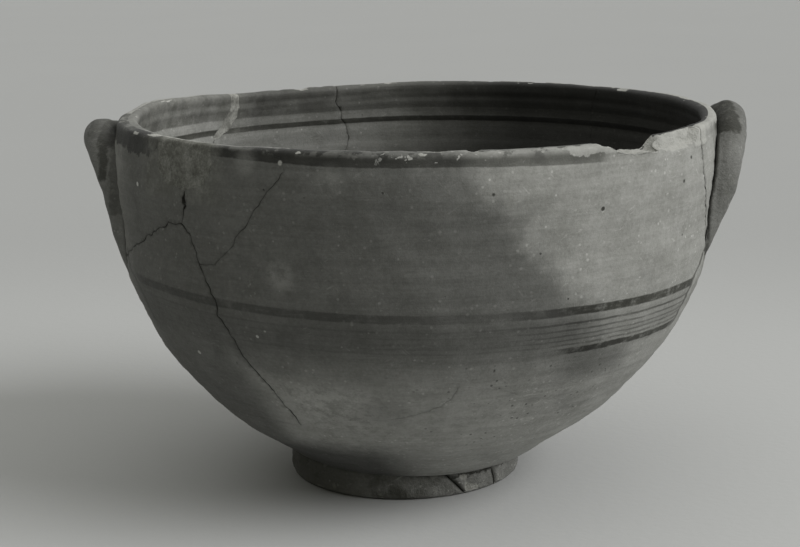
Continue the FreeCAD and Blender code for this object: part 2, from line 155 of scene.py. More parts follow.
RIM_DRIFT_AZ = [0, 95, 102, 120, 127, 135, 140, 144, 150, 156, 160, 166, 171, 180, 190, 200, 360]
RIM_DRIFT = [0, 0, -0.5, -0.8, -0.7, -0.4, 0, 0.5, 0.7, 1.25, 1.6, 1.7, 1.3, 0.8, 0.4, 0, 0]

# Worn and broken places on the lip.

NOTCH_AZ = [-59.5, -57, -54.5, -51.4, -48, -44.4, -43.2, -42.2, -40.6]
NOTCH_Z = [121, 119, 117.5, 116, 115.6, 115.5, 116.6, 118.2, 121]
SPALL_AZ = [-44.6, -43.5, -38.5, -33.5, -31, -28.8]
SPALL_Z = [117, 115.2, 114.2, 114.2, 115.6, 119.6]
NICK_AZ = [-160, -120, -108, -60, -50, 0]
NICK_DEPTH = [0.6, 0.8, 1.5, 1.5, 0.5, 0.5]
UNBROKEN = 121


def near_lip(z):
    """0 on the wall, rising to 1 at the lip."""
    return np.clip((z - 96) / 22, 0, 1)


def shape_points(az, v):
    """Points of the bowl's surface for azimuth and place along the section, and what they are."""
    az, v = np.asarray(az, float), np.asarray(v, float)
    inner = v > S_LIP + LIP_ARC / 2
    on_lip = (v > S_LIP) & (v < S_LIP + LIP_ARC)
    s = np.clip(np.where(inner, V_ALL - v, v), 0, S_LIP)
    r, z, nr, nz = [np.interp(s, SEC_S, values) for values in (SEC_R, SEC_Z, SEC_NR, SEC_NZ)]
    t = thickness(z)
    zz = z.copy()
    side = np.where(inner, 1, 0)
    r = np.where(inner, r - t * nr, r)
    z = np.where(inner, z - t * nz, z)
    turn = np.clip((v - S_LIP) / LIP_ARC, 0, 1) * np.pi
    lip_r = LIP_MIDDLE + LIP_HALF * np.sign(np.cos(turn)) * np.abs(np.cos(turn)) ** LIP_POWER
    lip_z = Z_LIP + LIP_RISE * np.abs(np.sin(turn)) ** LIP_POWER
    r = np.where(on_lip, lip_r, r)
    z = np.where(on_lip, lip_z, z)
    zz = np.where(on_lip, lip_z, zz)
    nr = np.where(on_lip, np.cos(turn), np.where(inner, -nr, nr))
    nz = np.where(on_lip, np.sin(turn), np.where(inner, -nz, nz))
    a = np.radians(az)
    flat = np.stack([r * np.cos(a), r * np.sin(a), z], axis=1)
    calm = np.clip((z - 4) / 12, 0.15, 1)
    lift = (0.3 * SWELL(flat) + 0.13 * DENT(flat)) * calm
    lift += wheel_marks(az, z) * np.where(inner, 1.6, 1) * calm + 0.025 * GRAIN(flat)
    r = r + nr * lift
    z = z + nz * lift * 0.7
    # The lip's crest is uneven, and lower where it is broken.
    wave = 0.16 * GRAIN(flat) + 0.1 * CRUMB(flat)
    crest = np.interp(az, NOTCH_AZ, NOTCH_Z) + wave * 1.5
    crest = np.where((az < NOTCH_AZ[0]) | (az > NOTCH_AZ[-1]), UNBROKEN, crest)
    nick = np.clip(DENT(flat * 1.9) - 1.15, 0, 1) * 1.1 + np.clip(GRAIN(flat * 1.4) - 1.3, 0, 1) * 0.7
    crest = np.minimum(crest, RIM + 0.15 * wave - nick * np.interp(az, NICK_AZ, NICK_DEPTH))
    hit = z > crest
    broken = np.where(hit & (crest < RIM - 0.25), 1, 0)
    z = np.where(hit, crest, z)
    zz = np.where(hit, np.minimum(zz, crest), zz)
    # A stretch of the lip at the right lost its outer skin.
    edge = np.interp(az, SPALL_AZ, SPALL_Z) + wave
    inside = (az > SPALL_AZ[0]) & (az < SPALL_AZ[-1]) & (z > edge) & ~inner
    depth = 2.5 * np.clip((z - edge) / 0.7, 0, 1) + 0.9 * wave
    limit = np.interp(z, [110, RIM], [96.5, 95.3]) - depth
    spall = inside & (r > limit)
    r = np.where(spall, limit, r)
    broken = np.where(spall & (depth > 0.5), 1, broken)
    # Hand-made drift: the axis moves to the right with height, and the front lip dips there.
    x = r * np.cos(a)
    y = r * np.sin(a)
    dip = near_lip(z) * np.clip(-np.sin(a) * 1.3, 0, 1)
    z = z - 0.014 * x * dip
    z = z + np.interp(az % 360, RIM_DRIFT_AZ, RIM_DRIFT) * near_lip(z)
    x = x + AXIS_FOOT + AXIS_LEAN * z
    return np.stack([x, y, z], axis=1), side, broken, zz


# Joins between the sherds: half width, edge wear and dirt, then azimuth and share of the rim's height.

JOINS = {
    "A_top": (0.07, 0.12, 0.9, [
        (-131.9, 0.985), (-132.1, 0.956), (-132.5, 0.935), (-133.3, 0.901), (-134.05, 0.8835),
        (-134.9, 0.8635), (-134.7, 0.844), (-135.5, 0.803)]),
    "A_mid": (0.09, 0.14, 1, [
        (-135.5, 0.803), (-133.6, 0.772), (-132.5, 0.744), (-131.2, 0.709)]),
    "A_low": (0.09, 0.14, 1, [
        (-131.2, 0.709), (-129.6, 0.678), (-128.8, 0.646), (-128, 0.621), (-127.5, 0.585),
        (-126.1, 0.529), (-124.8, 0.476), (-122.9, 0.421), (-121.3, 0.375), (-120, 0.326),
        (-119.2, 0.276)]),
    "B_near": (0.07, 0.12, 0.85, [
        (-135.5, 0.803), (-139, 0.798), (-143, 0.776), (-147.7, 0.745), (-153.6, 0.71), (-158, 0.678),
        (-161.8, 0.6625), (-172, 0.611), (-185, 0.586)]),
    "B_far": (0.04, 0.06, 0.3, [
        (-185, 0.586), (-192, 0.598), (-200, 0.637), (-206, 0.69), (-212, 0.72)]),
    "C": (0.05, 0.08, 0.62, [
        (-114.7, 0.985), (-113.5, 0.981), (-112.4, 0.952), (-114.3, 0.924), (-116.5, 0.891),
        (-118.3, 0.863), (-119.8, 0.833), (-121.7, 0.804), (-123.1, 0.769), (-125.1, 0.741),
        (-127, 0.72), (-131.2, 0.709)]),
    "D": (0.2, 0.3, 0.9, [
        (-28, 0.985), (-27.7, 0.962), (-27.1, 0.918), (-25.5, 0.8535), (-22.4, 0.779), (-20.5, 0.714),
        (-18.5, 0.64), (-15, 0.56), (-14, 0.48), (-17, 0.39), (-22, 0.3)]),
    "G": (0.05, 0.07, 0.4, [
        (-218.7, 0.864), (-215, 0.8), (-212, 0.72)]),
    "F": (0.07, 0.12, 0.7, [
        (-251, 0.985), (-251, 0.957), (-252.3, 0.916), (-253.4, 0.874), (-253.9, 0.83), (-253.6, 0.794),
        (-252, 0.7), (-249, 0.59), (-247, 0.48), (-244, 0.39), (-242, 0.31)]),
    "H": (0.03, 0.03, 0.12, [
        (-315.5, 0.985), (-313.9, 0.957), (-313, 0.87), (-315, 0.77), (-317, 0.67), (-315, 0.55),
        (-312, 0.43), (-314, 0.35), (-315, 0.3)]),
    "K": (0.03, 0.03, 0.15, [
        (-185, 0.586), (-187, 0.5), (-190.5, 0.4), (-190, 0.276)]),
    "base_r": (0.03, 0.03, 0.1, [
        (-382, 0.3), (-360, 0.276), (-340, 0.293), (-315, 0.3)]),
    "base_b": (0.03, 0.03, 0.12, [
        (-315, 0.3), (-290, 0.285), (-265, 0.31), (-242, 0.31)]),
    "base_bl": (0.03, 0.03, 0.1, [
        (-242, 0.31), (-225, 0.276), (-208, 0.26), (-190, 0.276)]),
    "base_l": (0.03, 0.03, 0.15, [
        (-190, 0.276), (-170, 0.251), (-155, 0.26), (-135, 0.276), (-119.2, 0.276)]),
    "base_f1": (0.02, 0.02, 0.04, [
        (-119.2, 0.276), (-112, 0.297), (-104, 0.314), (-95.1, 0.324)]),
    "base_f2": (0.03, 0.05, 0.35, [
        (-95.1, 0.324), (-87.6, 0.348), (-84.6, 0.371), (-82.5, 0.394), (-82, 0.424)]),
    "base_f3": (0.02, 0.01, 0.02, [
        (-82, 0.424), (-75, 0.41), (-66, 0.365), (-56, 0.335), (-46, 0.318), (-34, 0.31), (-22, 0.3)]),
    "fill_l": (0.02, 0.02, 0.05, [
        (-143, 0.985), (-142.6, 0.945), (-139.6, 0.893), (-134.05, 0.8835)]),
    "fill_r": (0.02, 0.03, 0.06, [
        (-134.05, 0.8835), (-129.6, 0.905), (-127.7, 0.942), (-128.2, 0.985)]),
    "seam_b": (0.02, 0.02, 0.1, [
        (-225.3, 0.985), (-225.9, 0.963), (-225, 0.93), (-222.6, 0.888), (-219.6, 0.862),
        (-218.7, 0.864)]),
    "seam_f": (0.02, 0.02, 0.1, [
        (-218.7, 0.864), (-218.3, 0.874), (-220.6, 0.904), (-222.6, 0.9405), (-223.2, 0.963),
        (-222.9, 0.985)]),
}


def refine(name):
    """A join in short steps that wander a little: az, z, half gap, wear, dirt."""
    half, wear, dirt_and_shade, points = JOINS[name]
    rows = []
    for (a0, s0), (a1, s1) in zip(points, points[1:]):
        z0, z1 = s0 * RIM, s1 * RIM
        r = float(wall_radius((z0 + z1) / 2))
        run = math.hypot(math.radians(a1 - a0) * r, z1 - z0)
        steps = max(1, int(run / 0.85))
        for i in range(steps):
            t = i / steps
            rows.append((a0 + (a1 - a0) * t, z0 + (z1 - z0) * t))
    rows.append((points[-1][0], points[-1][1] * RIM))
    rows = np.array(rows)
    seed = sum(ord(c) for c in name)
    wander = Waves(seed, 6, 10)
    fine = Waves(seed + 1, 2.2, 10)
    p = np.stack([np.radians(rows[:, 0]) * R_REF, rows[:, 1], np.zeros(len(rows))], axis=1)
    order = np.arange(len(rows))
    ease = np.clip(np.minimum(order, order[::-1]) / 4, 0, 1)
    rows[:, 0] += np.degrees((0.3 * wander(p) + 0.12 * fine(p)) / R_REF) * ease
    rows[:, 1] += (0.26 * wander(p + 50) + 0.1 * fine(p + 50)) * ease
    gap = half * (1 + 0.45 * wander(p + 90).clip(-1, 1.5))
    # A small hole where the long join passes the plaster.
    if name == "A_top":
        gap = gap + 0.8 * np.exp(-((rows[:, 1] - 102.4) / 1.5) ** 2)
    if name == "A_mid":
        gap = gap + 0.25 * np.exp(-((rows[:, 1] - 95.6) / 1.2) ** 2)
    # The join at the front is closed and painted over at the lip.
    clear = np.clip((114.5 - rows[:, 1]) / 2, 0, 1) if name == "C" else 1
    gap = np.maximum(gap * clear, 0.02)
    return np.column_stack([rows, gap, np.full(len(rows), wear) * clear, np.full(len(rows), dirt_and_shade) * clear])


FINE = {name: refine(name) for name in JOINS}
CUT_A = int(np.argmin(np.abs(FINE["A_top"][:, 1] - 0.8835 * RIM)))
FINE["A_top_low"] = FINE["A_top"][CUT_A:].copy()
FINE["A_top_low"][0, :2] = (-134.05, 0.8835 * RIM)


def chain(*names):
    """Runs joined end to start. A name with a minus is taken backwards, one with @ a turn less."""
    rows = []
    for name in names:
        run = FINE[name.strip("-@")].copy()
        run[:, 0] -= 360 * name.count("@")
        if name.startswith("-"):
            run = run[::-1]
        rows.append(run[1:] if rows else run)
    return np.vstack(rows)


def inset(poly, gap):
    """Move a closed outline inwards by each point's own half gap."""
    after = np.roll(poly, -1, axis=0)
    along = unit(after - np.roll(poly, 1, axis=0))
    area = 0.5 * np.sum(poly[:, 0] * after[:, 1] - after[:, 0] * poly[:, 1])
    turn = 1 if area > 0 else -1
    return poly + np.stack([-along[:, 1], along[:, 0]], axis=1) * (turn * gap)[:, None]


def within(poly, pts):
    """Which points lie inside a closed outline."""
    x, y = pts[:, 0], pts[:, 1]
    odd = np.zeros(len(pts), bool)
    x0, y0 = poly[:, 0], poly[:, 1]
    x1, y1 = np.roll(x0, -1), np.roll(y0, -1)
    for a, b, c, d in zip(x0, y0, x1, y1):
        if b == d:
            continue
        cross = ((b > y) != (d > y)) & (x < (c - a) * (y - b) / (d - b) + a)
        odd ^= cross
    return odd


def nearest(poly, pts):
    """Distance to an outline, and which of its points is nearest."""
    tree = kdtree.KDTree(len(poly) * 2)
    middles = (poly + np.roll(poly, -1, axis=0)) / 2
    for i, p in enumerate(np.vstack([poly, middles])):
        tree.insert((p[0], p[1], 0), i % len(poly))
    tree.balance()
    found = [tree.find((p[0], p[1], 0)) for p in pts]
    return np.array([f[2] for f in found]), np.array([f[1] for f in found])


# Spacing of the points of the sherds.

STEP = 1.25
LIP_STEP = 0.62
LIP_STEPS = 9


def fill_points(poly, polar):
    """Rows of points inside an outline, closer together near the lip and beside the outline."""
    rows = []
    lo, hi = poly.min(axis=0), poly.max(axis=0)
    if polar:
        rho = 0.9
        while rho < np.hypot(poly[:, 0], poly[:, 1]).max():
            count = max(6, int(2 * np.pi * rho / STEP))
            a = (np.arange(count) + (len(rows) % 2) * 0.5) * 2 * np.pi / count
            rows.append(np.stack([rho * np.cos(a), rho * np.sin(a)], axis=1))
            rho += STEP
    else:
        v = lo[1]
        while v < hi[1]:
            beside_lip = abs(v - S_LIP - LIP_ARC / 2) < LIP_ARC / 2 + 4.5
            step_v = LIP_STEP if beside_lip else STEP
            r = float(np.interp(min(v, V_ALL - v, S_LIP), SEC_S, SEC_R))
            step_u = (0.85 if beside_lip else STEP) * R_REF / max(r, 8)
            u = np.arange(lo[0] + (len(rows) % 2) * step_u / 2, hi[0], step_u)
            rows.append(np.stack([u, np.full(len(u), v)], axis=1))
            v += step_v
    pts = np.vstack(rows)
    pts = pts[within(poly, pts)]
    dist, _ = nearest(poly, pts)
    pts = pts[dist > 0.7]
    rings = []
    for off in (0.17, 0.45):
        ring = inset(poly, np.full(len(poly), off))
        ring = ring[::1 if off < 0.3 else 2]
        ring = ring[within(poly, ring)]
        d, _ = nearest(poly, ring)
        rings.append(ring[d > off * 0.72])
    return np.vstack([pts] + rings)


def triangulate(poly, polar=False):
    """Triangles inside an outline. The outline's points come first and keep their order."""
    pts = np.vstack([poly, fill_points(poly, polar)])
    count = len(poly)
    loop = [(i, (i + 1) % count) for i in range(count)]
    got = delaunay_2d_cdt([Vector(p) for p in pts], loop, [], 0, 1e-5, True)
    verts = np.array([tuple(v) for v in got[0]])
    order = {}
    for i, origin in enumerate(got[3]):
        for o in origin:
            order[o] = i
    ring = [order[i] for i in range(count)]
    faces = np.array([tuple(f) for f in got[2]])
    faces = faces[within(poly, verts[faces].mean(axis=1))]
    return verts, [tuple(int(i) for i in f) for f in faces], ring


def domain(chain_rows, polar, mirror):
    """A chain of joins laid flat: round the floor's middle, or along azimuth and section."""
    az, z = chain_rows[:, 0], chain_rows[:, 1]
    s = s_of_z(z)
    if polar:
        a = np.radians(az)
        return np.stack([s * np.cos(a), s * np.sin(a)], axis=1)
    return np.stack([np.radians(az) * R_REF, V_ALL - s if mirror else s], axis=1)


def back_to_surface(verts, polar, mirror):
    if not polar:
        return np.degrees(verts[:, 0] / R_REF), verts[:, 1]
    s = np.hypot(verts[:, 0], verts[:, 1])
    az = np.degrees(np.arctan2(verts[:, 1], verts[:, 0]))
    return az, (V_ALL - s if mirror else s)


def build_patch(poly, wear, polar, mirror):
    verts, faces, ring = triangulate(poly, polar)
    dist, index = nearest(poly, verts)
    edge_wear = wear[index]
    az, v = back_to_surface(verts, polar, mirror)
    points, side, broken, zz = shape_points(az, v)
    # Edges beside a join are worn: the point sinks into the wall.
    eps = 0.05
    ahead = shape_points(az + math.degrees(eps / R_REF), v)[0]
    above = shape_points(az, v + eps)[0]
    normal = unit(np.cross(ahead - points, above - points))
    crumb = 1 + 0.6 * CRUMB(points).clip(-1, 1.4)
    sink = edge_wear[:, 0] * np.exp(-(dist / 0.3) ** 2) * crumb
    points = points - normal * sink[:, None]
    dirt_and_shade = edge_wear[:, 1] * np.exp(-(dist / 0.2) ** 2) * crumb.clip(0.6, 1)
    return points, faces, ring, {"side": side, "brk": broken, "zz": zz, "dirt_and_shade": dirt_and_shade}


def strip(one, other):
    """Faces between two rows of points."""
    return [(one[i], other[i], other[i + 1], one[i + 1]) for i in range(len(one) - 1)]


def sherd(name, rows, slot="bowl_clay", rim=True, polar=False):
    """One piece of the wall: outer and inner faces and the break between them."""
    if rim:
        steps = LIP_STEPS
        outer = domain(rows, False, False)
        inner = domain(rows, False, True)
        gap, wear = rows[:, 2], rows[:, 3:5]
        ramp = np.linspace(0, 1, steps + 2)[1:-1]
        over_b = np.stack([np.full(steps, outer[-1, 0]), S_LIP + LIP_ARC * ramp], axis=1)
        over_a = np.stack([np.full(steps, outer[0, 0]), S_LIP + LIP_ARC * ramp[::-1]], axis=1)
        poly = np.vstack([outer, over_b, inner[::-1], over_a])
        gaps = np.hstack([gap, np.full(steps, gap[-1]), gap[::-1], np.full(steps, gap[0])])
        wears = np.vstack([wear, np.repeat(wear[-1:], steps, axis=0), wear[::-1],
                           np.repeat(wear[:1], steps, axis=0)])
        poly = inset(poly, gaps)
        points, faces, ring, data = build_patch(poly, wears, False, False)
        n = len(rows)
        out_ring = ring[:n]
        in_ring = ring[n + steps:2 * n + steps][::-1]
        faces += strip(out_ring, in_ring)
        faces.append(tuple([out_ring[-1]] + [in_ring[-1]] + ring[n:n + steps][::-1]))
        faces.append(tuple([in_ring[0]] + [out_ring[0]] + ring[2 * n + steps:][::-1]))
    else:
        rows = rows[:-1]
        parts = []
        for mirror in (False, True):
            poly = inset(domain(rows, polar, mirror), rows[:, 2])
            parts.append(build_patch(poly, rows[:, 3:5], polar, mirror))
        (points, faces, out_ring, data), (more_points, more_faces, in_ring, more_data) = parts
        base = len(points)
        points = np.vstack([points, more_points])
        data = {key: np.hstack([data[key], more_data[key]]) for key in data}
        in_ring = [i + base for i in in_ring]
        faces += [tuple(i + base for i in f) for f in more_faces]
        faces += strip(out_ring + out_ring[:1], in_ring + in_ring[:1])
    return make_piece(name, points, faces, data, slot, [name])


def new_object(name, data):
    obj = bpy.data.objects.new(name, data)
    bpy.context.scene.collection.objects.link(obj)
    return obj


def make_piece(name, points, faces, data, slot, nodes):
    mesh = bpy.data.meshes.new(name + "_look")
    mesh.from_pydata((points * MM).tolist(), [], faces)
    mesh.validate()
    bm = bmesh.new()
    bm.from_mesh(mesh)
    bmesh.ops.recalc_face_normals(bm, faces=bm.faces)
    if bm.calc_volume(signed=True) < 0:
        bmesh.ops.reverse_faces(bm, faces=bm.faces)
    bm.to_mesh(mesh)
    bm.free()
    for key, values in data.items():
        layer = mesh.attributes.new(key, "FLOAT", "POINT")
        layer.data.foreach_set("value", np.asarray(values, np.float32))
    mesh.polygons.foreach_set("use_smooth", [True] * len(mesh.polygons))
    mesh.set_sharp_from_angle(angle=math.radians(48))
    obj = new_object(name + "_look", mesh)
    mesh.materials.append(MATERIALS[slot])
    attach(obj, "root")
    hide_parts(*nodes)
    return obj


class Graph:
    """Short names for building the nodes of a material or a world."""

    def __init__(self, owner):
        self.owner = owner
        owner.use_nodes = True
        self.tree = owner.node_tree
        self.tree.nodes.clear()

    def node(self, kind, inputs, **settings):
        """A node with settings and inputs: numbers, colours or other nodes' outputs."""
        node = self.tree.nodes.new("ShaderNode" + kind)
        for key, value in settings.items():
            setattr(node, key, value)
        for key, value in inputs.items():
            if isinstance(value, bpy.types.NodeSocket):
                self.tree.links.new(value, node.inputs[key])
            else:
                node.inputs[key].default_value = value
        return node

    def math(self, op, *values):
        return self.node("Math", dict(enumerate(values)), operation=op).outputs[0]

    def fold(self, op, values):
        total = values[0]
        for value in values[1:]:
            total = self.math(op, total, value)
        return total

    def add(self, *values):
        return self.fold("ADD", values)

    def mul(self, *values):
        return self.fold("MULTIPLY", values)

    def top(self, *values):
        return self.fold("MAXIMUM", values)

    def sub(self, a, b):
        return self.math("SUBTRACT", a, b)

    def ease(self, value, start, end, a=0, b=1):
        """Goes smoothly from a to b while the value goes from start to end."""
        inputs = {"Value": value, "From Min": start, "From Max": end, "To Min": a, "To Max": b}
        return self.node("MapRange", inputs, interpolation_type="SMOOTHSTEP").outputs["Result"]

    def band(self, value, start, end, soft):
        """1 between start and end, 0 outside, with soft edges."""
        up = self.ease(value, start - soft, start + soft)
        return self.mul(up, self.ease(value, end - soft, end + soft, 1, 0))

    def attr(self, name):
        return self.node("Attribute", {}, attribute_name=name).outputs["Fac"]

    def vector(self, op, vector, other):
        return self.node("VectorMath", {0: vector, 1: other}, operation=op)

    def stretch(self, vector, *by):
        return self.vector("MULTIPLY", vector, by).outputs[0]

    def shift(self, vector, *by):
        return self.vector("ADD", vector, by).outputs[0]

    def away(self, vector, at):
        return self.vector("DISTANCE", vector, at).outputs["Value"]

    def scale(self, vector, factor):
        return self.node("VectorMath", {0: vector, "Scale": factor}, operation="SCALE").outputs[0]

    def turn(self, vector, degrees):
        inputs = {"Vector": vector, "Angle": math.radians(degrees)}
        return self.node("VectorRotate", inputs, rotation_type="Y_AXIS").outputs[0]

    def coords(self):
        """Object coordinates in millimetres."""
        return self.scale(self.node("TexCoord", {}).outputs["Object"], 1 / MM)

    def split(self, vector):
        return self.node("SeparateXYZ", {0: vector}).outputs

    def azimuth(self, x, y):
        return self.mul(self.math("ARCTAN2", y, x), math.degrees(1))

    def noise(self, vector, size, detail=3, rough=0.55):
        inputs = {"Vector": vector, "Scale": 1 / size, "Detail": detail, "Roughness": rough}
        return self.node("TexNoise", inputs).outputs["Fac"]

    def swing(self, vector, size, detail, rough):
        """Noise about zero."""
        return self.sub(self.noise(vector, size, detail, rough), 0.5)

    def cells(self, vector, size):
        return self.node("TexVoronoi", {"Vector": vector, "Scale": 1 / size}).outputs["Distance"]

    def mix(self, fac, a, b):
        a, b = [(*color, 1) if isinstance(color, tuple) else color for color in (a, b)]
        return self.node("Mix", {"Factor": fac, 6: a, 7: b}, data_type="RGBA").outputs[2]

    def finish(self, color, rough, height, distance=0.00025):
        bump = self.node("Bump", {"Distance": distance, "Strength": 1, "Height": height})
        inputs = {"Base Color": color, "Roughness": rough, "Normal": bump.outputs[0],
                  "Specular IOR Level": SPECULAR}
        shader = self.node("BsdfPrincipled", inputs)
        self.node("OutputMaterial", {"Surface": shader.outputs[0]})
        return self.owner


SPECULAR = 0.18
CLAY = (0.226, 0.227, 0.213)
CLAY_DARK = (0.14, 0.141, 0.127)
CLAY_PALE = (0.31, 0.311, 0.296)
PAINT_AND_SHADE = (0.03, 0.03, 0.025)
THIN_PAINT_AND_SHADE = (0.055, 0.055, 0.047)
DIRT_AND_SHADE = (0.018, 0.018, 0.014)
GRIT = (0.46, 0.46, 0.44)
FLECK = (0.42, 0.42, 0.4)
FLAKED = (0.4, 0.4, 0.38)
SCRATCH = (0.38, 0.38, 0.36)
CHIP = (0.36, 0.36, 0.34)
BROKEN = (0.31, 0.31, 0.29)

# Place, radius and colour of single pits and chips on the wall.

MARKS = [((21.4, -94.6, 107.6), 0.75, DIRT_AND_SHADE), ((21.8, -94.6, 106.6), 0.55, DIRT_AND_SHADE),
         ((52.8, -81.5, 100.8), 0.65, DIRT_AND_SHADE), ((82.1, -52.4, 110.6), 0.55, DIRT_AND_SHADE),
         ((79.4, -56.9, 104.2), 0.6, DIRT_AND_SHADE), ((-82.9, -48.7, 104.8), 0.7, FLECK),
         ((-36.6, -87.9, 116.2), 0.9, (0.3, 0.3, 0.28)), ((-45.4, -79.6, 65.2), 0.65, CHIP),
         ((-42.9, -81.7, 67.4), 0.75, CHIP), ((-65.1, -57.6, 55), 0.7, CHIP),
         ((24.8, -93, 114.6), 0.5, FLECK)]

# Place, radius and strength of soft pale blotches, where the surface is rubbed.

BLOTCHES = [((73.7, -62, 88.3), 5, 0.42), ((-38, -87.6, 84), 6.5, 0.34),
            ((-47, -82.6, 116), 5.5, 0.3), ((-23, -93.4, 112), 6, 0.26),
            ((34.8, -90.1, 98), 6, 0.22), ((60, -76, 103), 5, 0.2)]

# Fine painted lines of the panel: height, half width, strength.

FINE_LINES = [(68.9, 0.36, 0.74), (66.8, 0.33, 0.62), (65, 0.3, 0.55), (63.4, 0.3, 0.56),
              (61.8, 0.32, 0.6)]

# Patches of dark slip on the handles; the third and fourth are painted shade in the slot of the left
# handle and along its side next to the wall: x from, x to, z from, z to, strength.

HANDLE_PATCHES = [(-104, -88, 114.6, 122, 0.45), (-99.4, -88, 112.6, 122, 0.8),
                  (-98.3, -95.6, 103, 113.5, 0.85), (-94.6, -88, 92, 114, 0.45),
                  (88, 102.6, 113.4, 126, 0.95)]

# Directions of the fine scratches in degrees, and a shift that sets them apart.

SCRATCHES = [(32, 11), (-48, 57), (8, 93)]


def clay_ground(g, p, light=1):
    """Colour and height of bare fired clay."""
    streak = g.noise(g.stretch(p, 0.06, 0.06, 1), 0.9, 5, 0.68)
    broad_patch = g.noise(p, 34, 3, 0.55)
    patch = g.noise(g.shift(p, 71, 13, 5), 9, 5, 0.62)
    speck = g.noise(p, 0.9, 3, 0.7)
    crumb = g.noise(g.shift(p, 31, 8, 64), 2.3, 6, 0.78)
    parts = ((broad_patch, 0.5), (patch, 0.6), (streak, 0.48), (crumb, 0.62), (speck, 0.62))
    tone = g.add(*[g.mul(g.sub(part, 0.5), weight) for part, weight in parts])
    color = g.mix(g.ease(tone, -0.42, 0.42), CLAY_DARK, CLAY_PALE)
    color = g.scale(g.mix(0.3, color, CLAY), light)
    grit = g.ease(g.cells(g.shift(p, 3, 9, 1), 4.2), 0.105, 0.055)
    sparse = g.ease(g.noise(g.shift(p, 9, 40, 7), 11, 2), 0.46, 0.56)
    color = g.mix(g.mul(grit, sparse, 0.62), color, GRIT)
    fleck = g.ease(g.cells(g.shift(p, 21, 6, 4), 2.7), 0.21, 0.12)
    dusty = g.ease(g.noise(g.shift(p, 3, 77, 2), 9, 3, 0.6), 0.46, 0.6)
    color = g.mix(g.mul(fleck, dusty, 0.5), color, FLECK)
    worn = g.ease(g.noise(g.shift(p, 81, 5, 3), 12, 3, 0.6), 0.46, 0.58)
    for degrees, place in SCRATCHES:
        grain = g.stretch(g.turn(g.shift(p, place, 0, place), degrees), 0.11, 0.4, 1)
        scratch = g.ease(g.noise(grain, 0.8, 2, 0.5), 0.66, 0.73)
        color = g.mix(g.mul(scratch, worn, 0.38), color, SCRATCH)
    pit = g.ease(g.cells(g.shift(p, 33, 2, 17), 7), 0.06, 0.03)
    pit = g.mul(pit, g.ease(g.noise(g.shift(p, 66, 2, 9), 15, 1), 0.52, 0.58))
    color = g.mix(g.mul(pit, 0.6), color, DIRT_AND_SHADE)
    height = g.add(g.mul(g.noise(p, 0.55, 4, 0.7), 0.4), g.mul(streak, 0.3),
                   g.mul(patch, 0.35), g.mul(crumb, 0.3))
    return color, g.sub(height, g.mul(pit, 0.8))


class Wall:
    """What the bowl's paint and stains ask about a point: place, side, wear and raggedness."""

    def __init__(self, g):
        p = g.coords()
        x, y, _ = g.split(p)
        self.p = p
        self.x = x
        self.z = g.attr("zz")
        self.az = g.azimuth(g.sub(x, 0.4), y)
        self.out = g.ease(g.attr("side"), 0.45, 0.55, 1, 0)
        self.inn = g.sub(1, self.out)
        self.ragged = g.mul(g.swing(p, 3.2, 4, 0.65), 1.5)
        self.fine = g.mul(g.swing(g.stretch(p, 0.35, 0.35, 1), 0.9, 3, 0.7), 0.7)
        self.wear = g.noise(g.shift(p, 17, 5, 31), 5.5, 5, 0.7)
        # The painted bands tilt a little to the right.
        self.level = g.add(self.z, g.mul(x, 0.026), g.mul(self.ragged, 0.25), g.mul(self.fine, 0.35))
        self.spread = g.math("ABSOLUTE", g.sub(g.math("ABSOLUTE", self.az), 90))
        self.panel = g.ease(self.spread, 63.8, 65, 1, 0)


def panel_paint(g, w):
    """Bands and lines between the handles, front and back, with a stripe at each end."""
    right = g.ease(w.az, -78, -58)
    rub = g.noise(g.stretch(g.shift(w.p, 7, 7, 7), 0.12, 0.12, 1), 1.1, 4, 0.65)
    keep = g.ease(g.add(w.wear, g.mul(rub, 0.5)), 0.74, 0.98, 1, 0.35)
    faint = g.mul(g.band(w.az, -92, -68, 9), 0.38)
    strength = g.mul(g.add(0.55, g.mul(right, 0.45)), keep, g.sub(1, faint))
    thick = g.mul(g.band(w.level, 71.45, 74.1, 0.28), strength)
    lines = [g.mul(g.band(w.level, at - half, at + half, 0.22), force)
             for at, half, force in FINE_LINES]
    lines = g.mul(g.top(*lines), g.add(0.35, g.mul(right, 0.65)), keep)
    last = g.band(g.add(w.level, g.mul(w.ragged, 0.35)), 58.6, 60.7, 0.25)
    last = g.mul(last, g.ease(w.az, -70, -58, 0.1, 1), g.ease(w.wear, 0.48, 0.62, 1, 0.45))
    wash = g.mul(g.band(w.level, 59, 73, 2), 0.08)
    bands = g.mul(g.top(thick, lines, last, wash), w.panel)
    middle = g.add(64.3, g.mul(g.ease(w.z, 70, 79), 4.6))
    stripe = g.band(g.sub(w.spread, middle), -0.85, 0.85, 0.3)
    stripe = g.mul(stripe, g.band(w.level, 58.9, 80.5, 0.5), g.add(0.45, g.mul(right, 0.4)))
    return g.top(bands, stripe)


